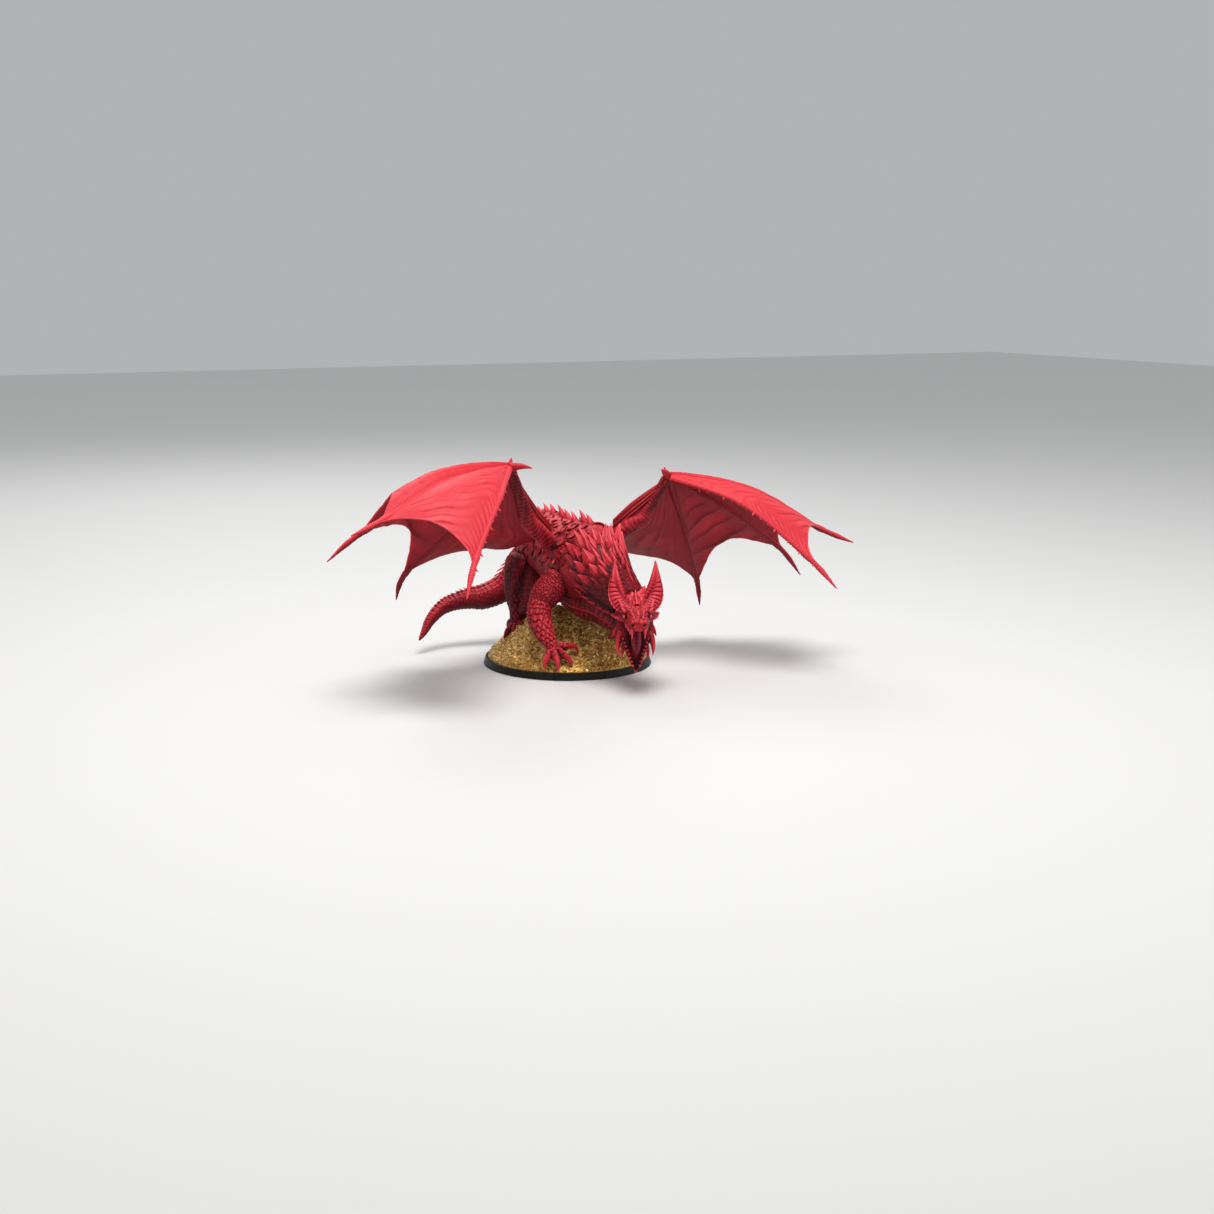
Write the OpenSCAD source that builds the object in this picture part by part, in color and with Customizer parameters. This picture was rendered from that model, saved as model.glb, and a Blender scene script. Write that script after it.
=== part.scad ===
// Red dragon tabletop miniature: a crouching dragon on a treasure mound and a
// round game base, built from separately cast pieces with glue pegs, and two
// wings that push into keyed shoulder sockets.
// Millimetres. The dragon faces -Y, its left side is +X, and the origin is the
// centre of the base's foot plane.

/* [Base] */
// Diameter of the round game base at its foot
base_d = 100; // [96:1:110]
// Height of the base's black rim
base_h = 4; // [3.6:0.1:5]
// Width of the black lip around the mound
lip_w = 2.6; // [2:0.1:4]

/* [Treasure mound] */
// Height of the mound's main dome above the rim
mound_h = 27; // [24:0.5:27]
// Height of the extra heap under the hips
heap_h = 6; // [0:0.5:8]
// Thickness of the hollow mound casting
mound_wall = 3; // [2.4:0.1:4]

/* [Body] */
// Thickness of the hollow torso halves
torso_wall = 3.2; // [2.6:0.1:4]
// Height of the seam between the torso's back half and belly half
seam_z = 64; // [62:0.5:66]

/* [Head] */
// How far the head turns towards the dragon's right, in degrees
head_turn = 26; // [24:1:30]
// How far the snout points below the horizon, in degrees
head_dip = 10; // [8:1:12]
// How far the jaw gapes, in degrees
jaw_gape = 55; // [50:1:57]

/* [Wings] */
// Thickness of the wing sails
sail_t = 1.3; // [1.2:0.1:1.6]
// Lift of the right wing and droop of the left one, as rise over run
wing_lean = 0.105; // [0.09:0.005:0.11]
// Radius of the wings' push-fit pegs
wing_peg_r = 3; // [2.6:0.1:3.2]
// Length of a wing's peg inside its socket
wing_peg_l = 8; // [6:0.5:8]
// Running clearance of a wing's peg, on the radius
peg_gap = 0.06; // [0.03:0.01:0.1]

/* [Hidden] */

base_r = base_d / 2;
mound_r = base_r - lip_w;
recess = 0.8;             // how deep the mound sits in the base
floor_t = 1.2;            // the base's top plate, under the mound
body_gap = 0.4;           // clear space between the wings and the body
glue_r = 2;               // glue pegs between castings that don't move
glue_gap = 0.1;
right = -1;
left = 1;

// Torso sections, tail end to neck end: [y, centre z, half width, half height].
torso_sections = [
    [50, 60, 7, 7], [47, 61, 9.5, 10], [40, 63.5, 14, 14.5], [28, 65, 18.5, 18.5],
    [12, 64.5, 19, 19.5], [-8, 64, 20.5, 22.5], [-26, 63, 21, 24],
    [-38, 62.5, 19, 23.5], [-46, 62, 16, 20], [-50, 62, 13, 16],
];
// Centrelines of the round limbs: [x, y, z, radius].
neck_line = [[-2, -42, 66, 17], [-2, -51, 58.5, 15.8], [1.2, -59, 51.6, 13.4], [4.2, -66, 47.2, 10.8],
    [5.2, -71, 44.8, 8.6]];
tail_line = [[0, 42, 62, 11], [-1, 49, 56, 10.5], [-5, 55, 46, 9.2], [-13, 59, 36, 8],
    [-25, 63, 30.5, 7.2], [-33, 65, 30, 6.2], [-42, 66, 29, 5.2], [-52, 66, 26, 4.3],
    [-61, 63, 20, 3.3], [-67, 60, 13, 2], [-71, 58, 9, 0.5]];
tail_joint = 4;           // index of the tail point where the two castings meet
foreleg_line = [[15, -22, 61, 10.5], [18.5, -22, 53, 9.6], [27.5, -22, 45, 8.6], [32, -25, 36, 7.8],
    [31.2, -29, 27, 6.8], [28.5, -33, 19.5, 5.2], [27.5, -34.5, 13.5, 4.4]];
foreleg_toes = [[34, -36.5, 6], [28.5, -42.5, 5.4], [19, -41, 6.4], [12.4, -36, 12.6]];
left_fore_shift = [0, 8, 2];      // the left forefoot stands further back
hindleg_line = [[14, 28, 61, 11.5], [19, 25, 52, 10.4], [23.5, 21.5, 39, 7],
    [24, 20, 29, 4.6], [25.5, 18, 19.5, 4.6]];
hindleg_toes = [[34, 15, 12.6], [31, 9.5, 13.6], [24.5, 6.5, 18], [27, 25.5, 17.5]];

head_pos = [5, -70.9, 44.8];
// Skull sections, back to snout: [y, centre z, half width, half height].
skull_sections = [[6, -1, 7, 7], [1, 0, 10, 8], [-6, 0.5, 11, 7.6], [-13, 0.8, 9.6, 6.6],
    [-18, 0.9, 7.2, 5.2], [-24, 0.6, 5.6, 4.4], [-28.5, 0.4, 4.8, 3.8], [-31, 0.2, 2.6, 2.2]];
jaw_hinge = [0, -3, -6];
jaw_sections = [[1, 0, 9.8, 3.4], [-6, -0.6, 10.2, 3], [-13, -0.8, 7.8, 2.4], [-20, -0.6, 5, 2],
    [-26, 0, 2.6, 1.7], [-29.5, 0.8, 0.7, 0.8]];

// Wing points, as on the left side and before the wings lean.
wing_root = [19, -18, 74.5];
wing_elbow = [37, -23, 88];
wing_shoulder_top = [20, -18, 86];
wing_wrist = [51.5, -28, 116.5];
thumb_tip = [41.5, -37, 119];
wing_under = [92, -40, 50];       // a point in the hollow under the sail
// Each finger runs from the wrist through a mid point to the sail's edge, and ends in a bare tip.
fingers = [
    [[76.5, -68, 105.5], [104, -96, 77.5], [116, -110, 59.5]],
    [[100, -46, 109], [139.5, -60, 91], [160.5, -66, 83]],
    [[91, -26, 101], [135, -22, 78], [156.5, -18, 59]],
    [[75, -10, 82], [98, 12, 50], [103, 16, 33]],
];
// The sail's inner edge: behind the arm, then along the flank to the hip.
sail_inner = [[45, -22, 100], [37, -17, 85], [26, -9, 78], [22.5, 6, 73], [21.5, 20, 70]];
pull_angle = 30;          // the wings pull out at this angle above the horizon
pull = [cos(pull_angle), 0, sin(pull_angle)];
sail_reach = 0.42;        // how far the sail follows each finger past its last joint
// Depth of the scalloped edge of each panel, q across it. The last panel droops towards the flank.
scallop = [0.2, 0.3, 0.3, 0.34];
function scoop(k, q) = scallop[k] * pow(4 * q * (1 - q), 0.6) * (k == 3 ? 1 - 0.85 * q : 1);
billow = [6, 10, 4, 2];

// ---- curves and lofts ----

function unit(v) = v / norm(v);
function spline_point(a, b, c, d, t) = 0.5 * (2 * b + (c - a) * t + (2 * a - 5 * b + 4 * c - d) * t * t
    + (3 * b - a - 3 * c + d) * t * t * t);
function smooth(p, n) = [
    for (i = [0 : len(p) - 2], k = [0 : n - 1])
        spline_point(p[max(i - 1, 0)], p[i], p[i + 1], p[min(i + 2, len(p) - 1)], k / n),
    p[len(p) - 1],
];
function xyz(p) = [p[0], p[1], p[2]];
function mirrored(p, side) = [side * p[0], p[1], p[2], p[3]];
function on_side(line, side) = [for (p = line) mirrored(p, side)];
function slice(list, from, to) = [for (i = [from : to]) list[i]];

// Joins rings of equal count into one closed solid, in ring order.
module skin(rings) {
    n = len(rings[0]);
    last = (len(rings) - 1) * n;
    polyhedron(
        points = [for (r = rings, p = r) p],
        faces = concat(
            [[for (j = [0 : n - 1]) j]],
            [[for (j = [n - 1 : -1 : 0]) last + j]],
            [for (i = [0 : len(rings) - 2], j = [0 : n - 1])
                let (a = i * n + j, b = i * n + (j + 1) % n) each [[a, a + n, b + n], [a, b + n, b]]]));
}

// A round limb along a line of [x, y, z, radius].
module limb(line, sides = 12, steps = 2, facing = [0, 1, 0.3]) {
    p = smooth(line, steps);
    skin([for (i = [0 : len(p) - 1])
        let (along = unit(xyz(p[min(i + 1, len(p) - 1)]) - xyz(p[max(i - 1, 0)])),
             across = unit(cross(along, facing)),
             upright = cross(along, across))
        [for (j = [0 : sides - 1]) let (a = 360 * j / sides)
            xyz(p[i]) + p[i][3] * (cos(a) * across + sin(a) * upright)]]);
}

// An oval body along -Y from [y, centre z, half width, half height] sections.
module oval(sections, sides = 18, steps = 2, grow = 0) {
    p = smooth(sections, steps);
    skin([for (s = p) [for (j = [0 : sides - 1]) let (a = 360 * j / sides)
        [(s[2] + grow) * cos(a), s[0], s[1] + (s[3] + grow) * sin(a)]]]);
}

// A straight taper, such as a claw, tooth or spike.
module spike(from, to, r1, r2 = 0.3) {
    translate(from) along(to - from) cylinder(r1 = r1, r2 = r2, h = norm(to - from), $fn = 7);
}

// Takes its children as one mesh.
module one_mesh() {
    resize([0, 0, 0]) union() children();
}

module along(dir) {
    rotate([0, acos(unit(dir)[2]), atan2(dir[1], dir[0])]) children();
}

// A glue peg centred on a seam, and the socket that takes it.
module glue_peg(pos, dir, length = 6) {
    translate(pos) along(dir) cylinder(r = glue_r, h = length, center = true, $fn = 12);
}

module glue_socket(pos, dir, length = 6) {
    translate(pos) along(dir)
        cylinder(r = glue_r + glue_gap, h = length + 2 * glue_gap, center = true, $fn = 12);
}

// ---- where the castings meet: [position, direction] ----

neck_seat = [[0, -50, 68], [0, 1, 0]];
tail_seat = [[0, 50, 60], [0, 1, -0.2]];
tail_mid_seat = [xyz(tail_line[tail_joint]), [1, -0.25, 0.3]];
skull_seat = [[4.3, -65, 47.2], [0.46, 0.87, 0.17]];
fore_seat = [[18.5, -22, 55.5], [1, 0, -0.8]];
hind_seat = [[16.5, 27, 57], [0.7, -0.4, -1]];
fore_foot_seat = [[27.5, -34.5, 9], [0, 0, 1]];
hind_foot_seat = [[25.5, 18, 17.5], [0, 0, 1]];
belly_seats = [for (y = [-20, 24]) [[0, y, seam_z], [0, 0, 1]]];

function seat_on_side(seat, side, shift = [0, 0, 0]) =
    [[side * (seat[0][0] + shift[0]), seat[0][1] + shift[1], seat[0][2] + shift[2]],
     [side * seat[1][0], seat[1][1], seat[1][2]]];

// ---- base and mound ----

module base_disc() {
    top = base_h - recess;
    color("black") {
        difference() {
            cylinder(r1 = base_r, r2 = base_r - 1.2, h = base_h, $fn = 96);
            translate([0, 0, top]) cylinder(r = mound_r + 0.2, h = recess + 1, $fn = 96);
            difference() {
                translate([0, 0, -1]) cylinder(r = base_r - 3.2, h = top - floor_t + 1, $fn = 96);
                translate([0, 0, -2]) cylinder(r = 8, h = top + 2, $fn = 48);
                for (k = [0 : 5]) rotate(60 * k) translate([0, -0.8, -2]) cube([base_r - 2, 1.6, top + 2]);
            }
            translate([0, 0, top - 2]) cylinder(r = glue_r + 1 + glue_gap, h = 4, $fn = 32);
        }
    }
}

function heap(x, y) = heap_h * exp(-(pow(x + 14, 2) + pow(y - 20, 2)) / 288);
function mound_top(x, y) = base_h + 0.3 + heap(x, y)
    + mound_h * (1 - pow(min(1, norm([x, y]) / mound_r), 1.6));

// The mound's surface, lowered by `drop` and drawn in by `inset`.
module mound_solid(drop = 0, inset = 0, spokes = 36, rings = 9) {
    r = mound_r - inset;
    foot = base_h - recess - (drop > 0 ? 1 : 0);
    skin(concat(
        [[for (j = [0 : spokes - 1]) let (a = 360 * j / spokes) [r * cos(a), r * sin(a), foot]]],
        [for (i = [0 : rings]) let (q = max(1 - i / rings, 0.03))
            [for (j = [0 : spokes - 1]) let (a = 360 * j / spokes, x = q * r * cos(a), y = q * r * sin(a))
                [x, y, max(mound_top(x * mound_r / r, y * mound_r / r) - drop, foot + 0.3)]]]));
}

module treasure_mound() {
    foot = base_h - recess;
    color("goldenrod") one_mesh() {
        difference() {
            mound_solid();
            difference() {
                mound_solid(drop = mound_wall, inset = mound_wall);
                // bosses in the hollow that take the foot pegs, and the centre post
                for (s = foot_seats()) translate([s[0][0], s[0][1], 0]) cylinder(r = glue_r + 1.8, h = 50, $fn = 16);
                cylinder(r = glue_r + 2.5, h = 50, $fn = 20);
            }
            for (s = foot_seats()) glue_socket(s[0], s[1]);
        }
        translate([0, 0, foot - 1.8]) cylinder(r = glue_r + 1, h = 4, $fn = 20);
    }
}

function foot_seats() = [
    for (side = [right, left]) each [
        seat_on_side(fore_foot_seat, side, side == left ? left_fore_shift : [0, 0, 0]),
        seat_on_side(hind_foot_seat, side)]
];

// ---- torso, neck and tail ----

module torso(grow = 0) {
    oval(torso_sections, grow = grow);
}

module torso_hollow() {
    difference() {
        torso(-torso_wall);
        // keeps solid ends for the neck and tail pegs, and solid sides for the limb pegs
        translate([-30, -60, 0]) cube([60, 22, 120]);
        translate([-30, 40, 0]) cube([60, 22, 120]);
        for (side = [right, left]) {
            translate([side * wing_root[0], wing_root[1], wing_root[2]]) along([side * pull[0], 0, pull[2]])
                translate([0, 0, -wing_peg_l - 2]) cylinder(r = wing_peg_r + 2.8, h = 20, $fn = 24);
            for (s = [fore_seat, hind_seat]) let (t = seat_on_side(s, side))
                translate(t[0]) along(t[1]) cylinder(r = glue_r + 2, h = 12, center = true, $fn = 24);
        }
        for (s = belly_seats) translate(s[0]) cylinder(r = glue_r + 2, h = 120, center = true, $fn = 24);
    }
}

module torso_shell() {
    difference() {
        torso();
        torso_hollow();
        glue_socket(neck_seat[0], neck_seat[1]);
        glue_socket(tail_seat[0], tail_seat[1]);
        for (side = [right, left], s = [fore_seat, hind_seat]) let (t = seat_on_side(s, side))
            glue_socket(t[0], t[1]);
    }
}

// The bore and keyway that a wing's peg slides into.
module wing_socket(side, r, l, key) {
    translate([side * wing_root[0], wing_root[1], wing_root[2]]) along([side * pull[0], 0, pull[2]]) {
        translate([0, 0, -l]) cylinder(r = r, h = l + 8, $fn = 48);
        translate([-key / 2, 0, -l]) cube([key, r + 1.2, l + 8]);
    }
}

module torso_back() {
    color("firebrick") difference() {
        one_mesh() {
            intersection() {
                torso_shell();
                translate([-50, -80, seam_z]) cube([100, 160, 60]);
            }
            for (s = belly_seats) glue_peg(s[0] + [0, 0, 1], s[1], 8);
            for (k = [0 : 7]) let (y = 42 - 9 * k, z = 64 + 19 * cos(1.2 * y), h = 7 + 2.5 * (k % 2))
                spike([0, y, z], [0, y + 4, z + h], 3, 0.5);
        }
        for (side = [right, left]) wing_socket(side, wing_peg_r + peg_gap, wing_peg_l + 0.6, 1.8 + 2 * peg_gap);
    }
}

module torso_belly() {
    color("darkred") one_mesh() difference() {
        torso_shell();
        translate([-50, -80, seam_z]) cube([100, 160, 60]);
        for (s = belly_seats) glue_socket(s[0], s[1], 12);
    }
}

module neck_solid() {
    limb(neck_line, sides = 18, facing = [1, 0, 0]);
}

// A spike on the ridge of the neck, at index i of its centreline.
module neck_spike(i, h) {
    p = neck_line[i];
    run = unit(xyz(neck_line[i]) - xyz(neck_line[i - 1]));
    ridge = unit([0, 0, 1] - run[2] * run);
    spike(xyz(p) + (p[3] - 2) * ridge, xyz(p) + (p[3] + h) * ridge - 0.4 * h * run, 3, 0.5);
}

module neck() {
    color("firebrick") one_mesh() {
        difference() {
            union() {
                neck_solid();
                for (i = [1 : 3]) neck_spike(i, 8 - i);
            }
            torso();
            skull_solid();
            for (side = [right, left]) {
                horn_solid(side);
                frill_solid(side);
            }
        }
        glue_peg(neck_seat[0], neck_seat[1], 7);
        glue_peg(skull_seat[0], skull_seat[1], 7);
    }
}

module tail(from, to) {
    limb(slice(tail_line, from, to), facing = [0, 0, 1], sides = 12);
}

module tail_root() {
    color("firebrick") one_mesh() {
        difference() {
            union() {
                tail(0, tail_joint);
                for (k = [1 : 3]) let (p = tail_line[k])
                    spike([p[0], p[1], p[2] + p[3] - 1.5], [p[0] - 1, p[1] + 3, p[2] + p[3] + 4], 2, 0.4);
            }
            torso();
            glue_socket(tail_mid_seat[0], tail_mid_seat[1], 8);
        }
        glue_peg(tail_seat[0], tail_seat[1], 7);
    }
}

module tail_tip() {
    color("firebrick") one_mesh() {
        difference() {
            tail(tail_joint, len(tail_line) - 1);
            tail(0, tail_joint);
        }
        glue_peg(tail_mid_seat[0], tail_mid_seat[1], 8);
    }
}

// ---- head ----

module at_head() {
    translate(head_pos) rotate([head_dip, 0, -head_turn]) children();
}

module at_jaw() {
    at_head() translate(jaw_hinge) rotate([jaw_gape, 0, 0]) children();
}

module skull_solid() {
    at_head() oval(skull_sections, sides = 16);
}

module brow_spikes() {
    at_head() for (side = [right, left]) spike([side * 7, -17, 4], [side * 9, -12, 8], 2, 0.4);
}

module skull() {
    color("firebrick") one_mesh() {
        difference() {
            union() {
                skull_solid();
                brow_spikes();
                at_head() for (side = [right, left]) {
                    spike([side * 2.6, -28, 2], [side * 3, -26, 6], 1.4, 0.4);
                    for (k = [0 : 3]) spike([side * (3.6 + 0.5 * k), -28 + 3.6 * k, -1.6],
                        [side * (3.8 + 0.6 * k), -28.6 + 3.6 * k, -6.2], 0.9, 0.25);
                }
            }
            glue_socket(skull_seat[0], skull_seat[1], 7);
        }
    }
}

module jaw_solid() {
    at_jaw() oval(jaw_sections, sides = 14);
}

module lower_jaw() {
    color("firebrick") one_mesh() difference() {
        union() {
            jaw_solid();
            at_jaw() {
                for (side = [right, left]) {
                    spike([side * 8, -9, -1], [side * 9.2, -21, -0.6], 2.4, 0.4);
                    for (k = [0 : 3]) spike([side * (2.2 + 1.4 * k), -25.5 + 4 * k, 0.6],
                        [side * (2.4 + 1.4 * k), -26 + 4 * k, 4.6], 0.9, 0.25);
                }
                spike([0, -27, 0], [0, -29, -4], 1.4, 0.4);
            }
        }
        skull_solid();
        neck_solid();
    }
}

module tongue() {
    color("maroon") one_mesh() difference() {
        at_jaw() limb([[0, -4, 3, 2.6], [0, -11, 4.2, 2.8], [0, -17, 4.4, 2], [0, -23, 3.6, 0.6]],
            sides = 10, facing = [1, 0, 0]);
        jaw_solid();
        skull_solid();
    }
}

// Horn swept up from behind the brow, as a curved taper in the head's frame.
module horn_solid(side) {
    at_head() limb([[side * 6.5, -4, 5, 3], [side * 9.3, -1.2, 11.5, 3], [side * 11.2, 1.2, 18.5, 2.3],
        [side * 11.3, 4.6, 26, 0.4]], sides = 10);
}

module horn(side) {
    color("firebrick") one_mesh() difference() {
        horn_solid(side);
        skull_solid();
    }
}

// Bony crest from the brow outwards and back to the horn. Its tip thins, to end inside the horn.
frill_rim = [[4, -19, 4.4], [9, -16, 3.8], [12.6, -12, 4.8], [14.9, -7.4, 8],
    [15.2, -3.4, 12.5], [13.9, 0, 18], [12.6, 2.9, 22.6]];
frill_root = [[3, -16, 6.4], [5, -12.5, 7.6], [6.5, -8.5, 8.6], [8, -4.6, 10.4],
    [9.6, -1.8, 14], [11, 0.8, 18.6], [11.2, 3.4, 23.2]];

module frill_solid(side) {
    at_head() skin([for (i = [0 : len(frill_rim) - 1])
        let (a = frill_rim[i], b = frill_root[i], m = (a + b) / 2 + [0, -1.2, 0.4],
             t = [0, 0.9, -0.9] * (i < len(frill_rim) - 1 ? 1 : 0.3),
             ring = [a - t / 2, m - t, b - t / 2, b + 2 * t, m + 1.5 * t, a + t / 2])
        [for (p = side == right ? ring : [for (k = [5 : -1 : 0]) ring[k]]) [side * p[0], p[1], p[2]]]]);
}

module frill(side) {
    color("firebrick") one_mesh() difference() {
        frill_solid(side);
        skull_solid();
        brow_spikes();
        horn_solid(side);
    }
}

// ---- legs ----

// Toes from the last point of a leg, each an arched finger with a claw.
module toes(palm, tips, side, shift = [0, 0, 0]) {
    for (t = tips) {
        tip = [side * (t[0] + shift[0]), t[1] + shift[1], t[2] + shift[2]];
        knuckle = palm * 0.42 + tip * 0.58 + [0, 0, 2.8];
        heel = palm * 0.8 + knuckle * 0.2;
        limb([concat(heel, [2.6]), concat(knuckle, [2.3]), concat(tip, [0.4])], sides = 8,
            facing = cross(tip - palm, [0, 0, 1]));
    }
}

module leg(line, tips, side, shift = [0, 0, 0]) {
    // the shift grows from none at the shoulder to all of it at the foot
    last = len(line) - 1;
    path = [for (i = [0 : last]) mirrored(line[i] + concat(shift, [0]) * max(0, i - 1) / (last - 1), side)];
    limb(path);
    toes(xyz(path[last]), tips, side, shift);
}

module foreleg(side) {
    shift = side == left ? left_fore_shift : [0, 0, 0];
    seat = seat_on_side(fore_seat, side);
    foot = seat_on_side(fore_foot_seat, side, shift);
    color("firebrick") one_mesh() {
        difference() {
            leg(foreleg_line, foreleg_toes, side, shift);
            torso();
            neck_solid();
            mound_solid();
        }
        glue_peg(seat[0], seat[1]);
        glue_peg(foot[0], foot[1]);
    }
}

module hindleg(side) {
    seat = seat_on_side(hind_seat, side);
    foot = seat_on_side(hind_foot_seat, side);
    color("darkred") one_mesh() {
        difference() {
            leg(hindleg_line, hindleg_toes, side);
            torso();
            tail(0, tail_joint);
            mound_solid();
        }
        glue_peg(seat[0], seat[1]);
        glue_peg(foot[0], foot[1]);
    }
}

// ---- wings ----

// A wing point on its own side, beyond the elbow raised on the right and lowered on the left.
function wing_at(p, side) = [side * p[0], p[1],
    p[2] - side * wing_lean * p[0] * min(1, max(0, (p[0] - 30) / 18)) * min(1, 1 + (p[1] + 20) * 0.0045)];
function wing_line(points, side) = [for (p = points) wing_at(p, side)];

// The sail's ribs: the fingers as far as the sail's edge, then its inner edge.
function rib(k) = k < len(fingers)
    ? concat(smooth([wing_wrist, fingers[k][0], fingers[k][1]], 5),
        [fingers[k][1] * (1 - sail_reach) + fingers[k][2] * sail_reach])
    : smooth(concat([wing_wrist], sail_inner), 2);
function away(p) = unit(p - wing_under);

rows = 8;                 // steps from the wrist to the sail's edge
columns = 5;              // steps across each panel
function rib_point(k, t) = let (r = rib(k), f = t * (len(r) - 1), i = min(floor(f), len(r) - 2))
    r[i] + (r[i + 1] - r[i]) * (f - i);
// A point of panel k, q across it and t out from the wrist, with its scalloped edge and billow.
function sail_point(k, q, t) = let (
        hollow = 4 * q * (1 - q),
        s = t * (1 - scoop(k, q)),
        p = rib_point(k, s) * (1 - q) + rib_point(k + 1, s) * q)
    p + away(p) * billow[k] * hollow * sin(180 * (0.1 + 0.5 * t));
function sail_row(t) = [for (k = [0 : len(fingers) - 1], c = [0 : columns - 1]) sail_point(k, c / columns, t),
    rib_point(len(fingers), t)];

module sail_sheet(side) {
    grid = [for (i = [0 : rows]) sail_row(0.07 + 0.93 * i / rows)];
    n = len(grid[0]);
    face = [for (r = grid, p = r) wing_at(p, side)];
    back = [for (r = grid, p = r) wing_at(p - sail_t * away(p), side)];
    m = len(face);
    tiles = [for (i = [0 : rows - 1], j = [0 : n - 2]) let (a = i * n + j)
        each [[a, a + 1, a + n + 1], [a, a + n + 1, a + n]]];
    border = concat([for (j = [0 : n - 2]) [j, j + 1]], [for (i = [0 : rows - 1]) [(i + 1) * n - 1, (i + 2) * n - 1]],
        [for (j = [n - 1 : -1 : 1]) [rows * n + j, rows * n + j - 1]], [for (i = [rows : -1 : 1]) [i * n, (i - 1) * n]]);
    walls = [for (e = border) each [[e[1], e[0], e[0] + m], [e[1], e[0] + m, e[1] + m]]];
    faces = concat(tiles, [for (t = tiles) [t[2] + m, t[1] + m, t[0] + m]], walls);
    polyhedron(points = concat(face, back), faces = side == left ? faces : [for (f = faces) [f[2], f[1], f[0]]]);
}

module wing_fingers(side) {
    for (f = fingers) {
        ridge = [for (p = [wing_wrist, f[0], f[1], f[2]]) p - away(p) * sail_t / 2];
        limb([for (i = [0 : 3]) concat(wing_at(ridge[i], side), [[2.3, 1.9, 1.7, 0.4][i]])], sides = 8, steps = 3);
    }
}

module wing_arm_solid(side, grow = 0) {
    limb([
        concat(wing_at(wing_root - 3 * pull, side), [5.2 + grow]),
        concat(wing_at(wing_root + 4 * pull, side), [5.4 + grow]),
        concat(wing_at(wing_elbow, side), [4.8 + grow]),
        concat(wing_at(wing_elbow * 0.5 + wing_wrist * 0.5, side), [4.0 + grow]),
        concat(wing_at(wing_wrist, side), [3.6 + grow]),
    ], sides = 12);
}

// The skin in front of the elbow, from the shoulder to the wrist.
module wing_web(side) {
    skin([for (i = [0 : 6])
        let (t = i / 6, inner = wing_root * pow(1 - t, 2) + wing_elbow * 2 * t * (1 - t) + wing_wrist * t * t,
             outer = wing_shoulder_top * (1 - t) + wing_wrist * t,
             ring = [inner + [0, 0.7, 0], outer + [0, 0.6, 0], outer - [0, 0.6, 0], inner - [0, 0.7, 0]])
        [for (p = side == left ? ring : [for (k = [3 : -1 : 0]) ring[k]]) wing_at(p, side)]]);
}

// Hooks on the wrist.
module wing_hooks(side) {
    spike(wing_at(wing_wrist, side), wing_at(thumb_tip, side), 3, 0.5);
    spike(wing_at(wing_wrist, side), wing_at(wing_wrist + [-1, 1, 7], side), 2.6, 0.5);
}

module wing_arm(side) {
    color("firebrick") union() {
        one_mesh() difference() {
            union() {
                wing_arm_solid(side);
                wing_web(side);
                wing_hooks(side);
            }
            torso(body_gap);
        }
        wing_socket_peg(side);
    }
}

module wing_socket_peg(side) {
    difference() {
        wing_socket(side, wing_peg_r, wing_peg_l, 1.8);
        // stops the peg inside the arm
        translate([side * wing_root[0], wing_root[1], wing_root[2]]) along([side * pull[0], 0, pull[2]])
            translate([0, 0, 5]) cylinder(r = 12, h = 12, $fn = 24);
    }
}

module wing_sail(side) {
    color("crimson") one_mesh() difference() {
        union() {
            sail_sheet(side);
            wing_fingers(side);
        }
        wing_arm_solid(side);
        wing_web(side);
        wing_hooks(side);
        torso(body_gap);
        limb([for (p = on_side(hindleg_line, side)) [p[0], p[1], p[2], p[3] + body_gap]]);
    }
}

base_disc();
treasure_mound();
torso_back();
torso_belly();
neck();
tail_root();
tail_tip();
skull();
lower_jaw();
tongue();
horn(right);  // right_horn
horn(left);  // left_horn
frill(right);  // right_frill
frill(left);  // left_frill
foreleg(right);  // right_foreleg
foreleg(left);  // left_foreleg
hindleg(right);  // right_hindleg
hindleg(left);  // left_hindleg
wing_arm(right);  // right_wing_arm
wing_sail(right);  // right_wing_sail
wing_arm(left);  // left_wing_arm
wing_sail(left);  // left_wing_sail
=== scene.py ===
"""Painted red dragon miniature on a treasure mound: the looks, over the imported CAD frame."""
import math
from itertools import product

import bpy
import numpy as np
from mathutils import Matrix, Vector
from mathutils.bvhtree import BVHTree
from mathutils.kdtree import KDTree


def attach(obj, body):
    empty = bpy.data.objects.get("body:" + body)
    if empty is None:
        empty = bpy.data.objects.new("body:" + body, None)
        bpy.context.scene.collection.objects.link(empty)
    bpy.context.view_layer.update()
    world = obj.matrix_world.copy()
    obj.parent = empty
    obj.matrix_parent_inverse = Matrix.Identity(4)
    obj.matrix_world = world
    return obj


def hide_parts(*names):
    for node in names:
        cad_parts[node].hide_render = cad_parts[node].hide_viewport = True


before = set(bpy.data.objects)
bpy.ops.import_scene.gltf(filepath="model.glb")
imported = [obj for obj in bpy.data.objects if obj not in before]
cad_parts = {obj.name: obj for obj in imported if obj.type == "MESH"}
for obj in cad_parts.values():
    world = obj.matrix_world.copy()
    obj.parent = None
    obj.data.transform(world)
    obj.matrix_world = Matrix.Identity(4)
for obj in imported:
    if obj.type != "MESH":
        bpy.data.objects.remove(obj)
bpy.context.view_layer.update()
MM = 0.001                # shapes are worked out in millimetres, objects are in metres
RIGHT, LEFT = -1, 1
rng = np.random.default_rng(11)


# ---- numbers shared with the CAD source ----

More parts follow.
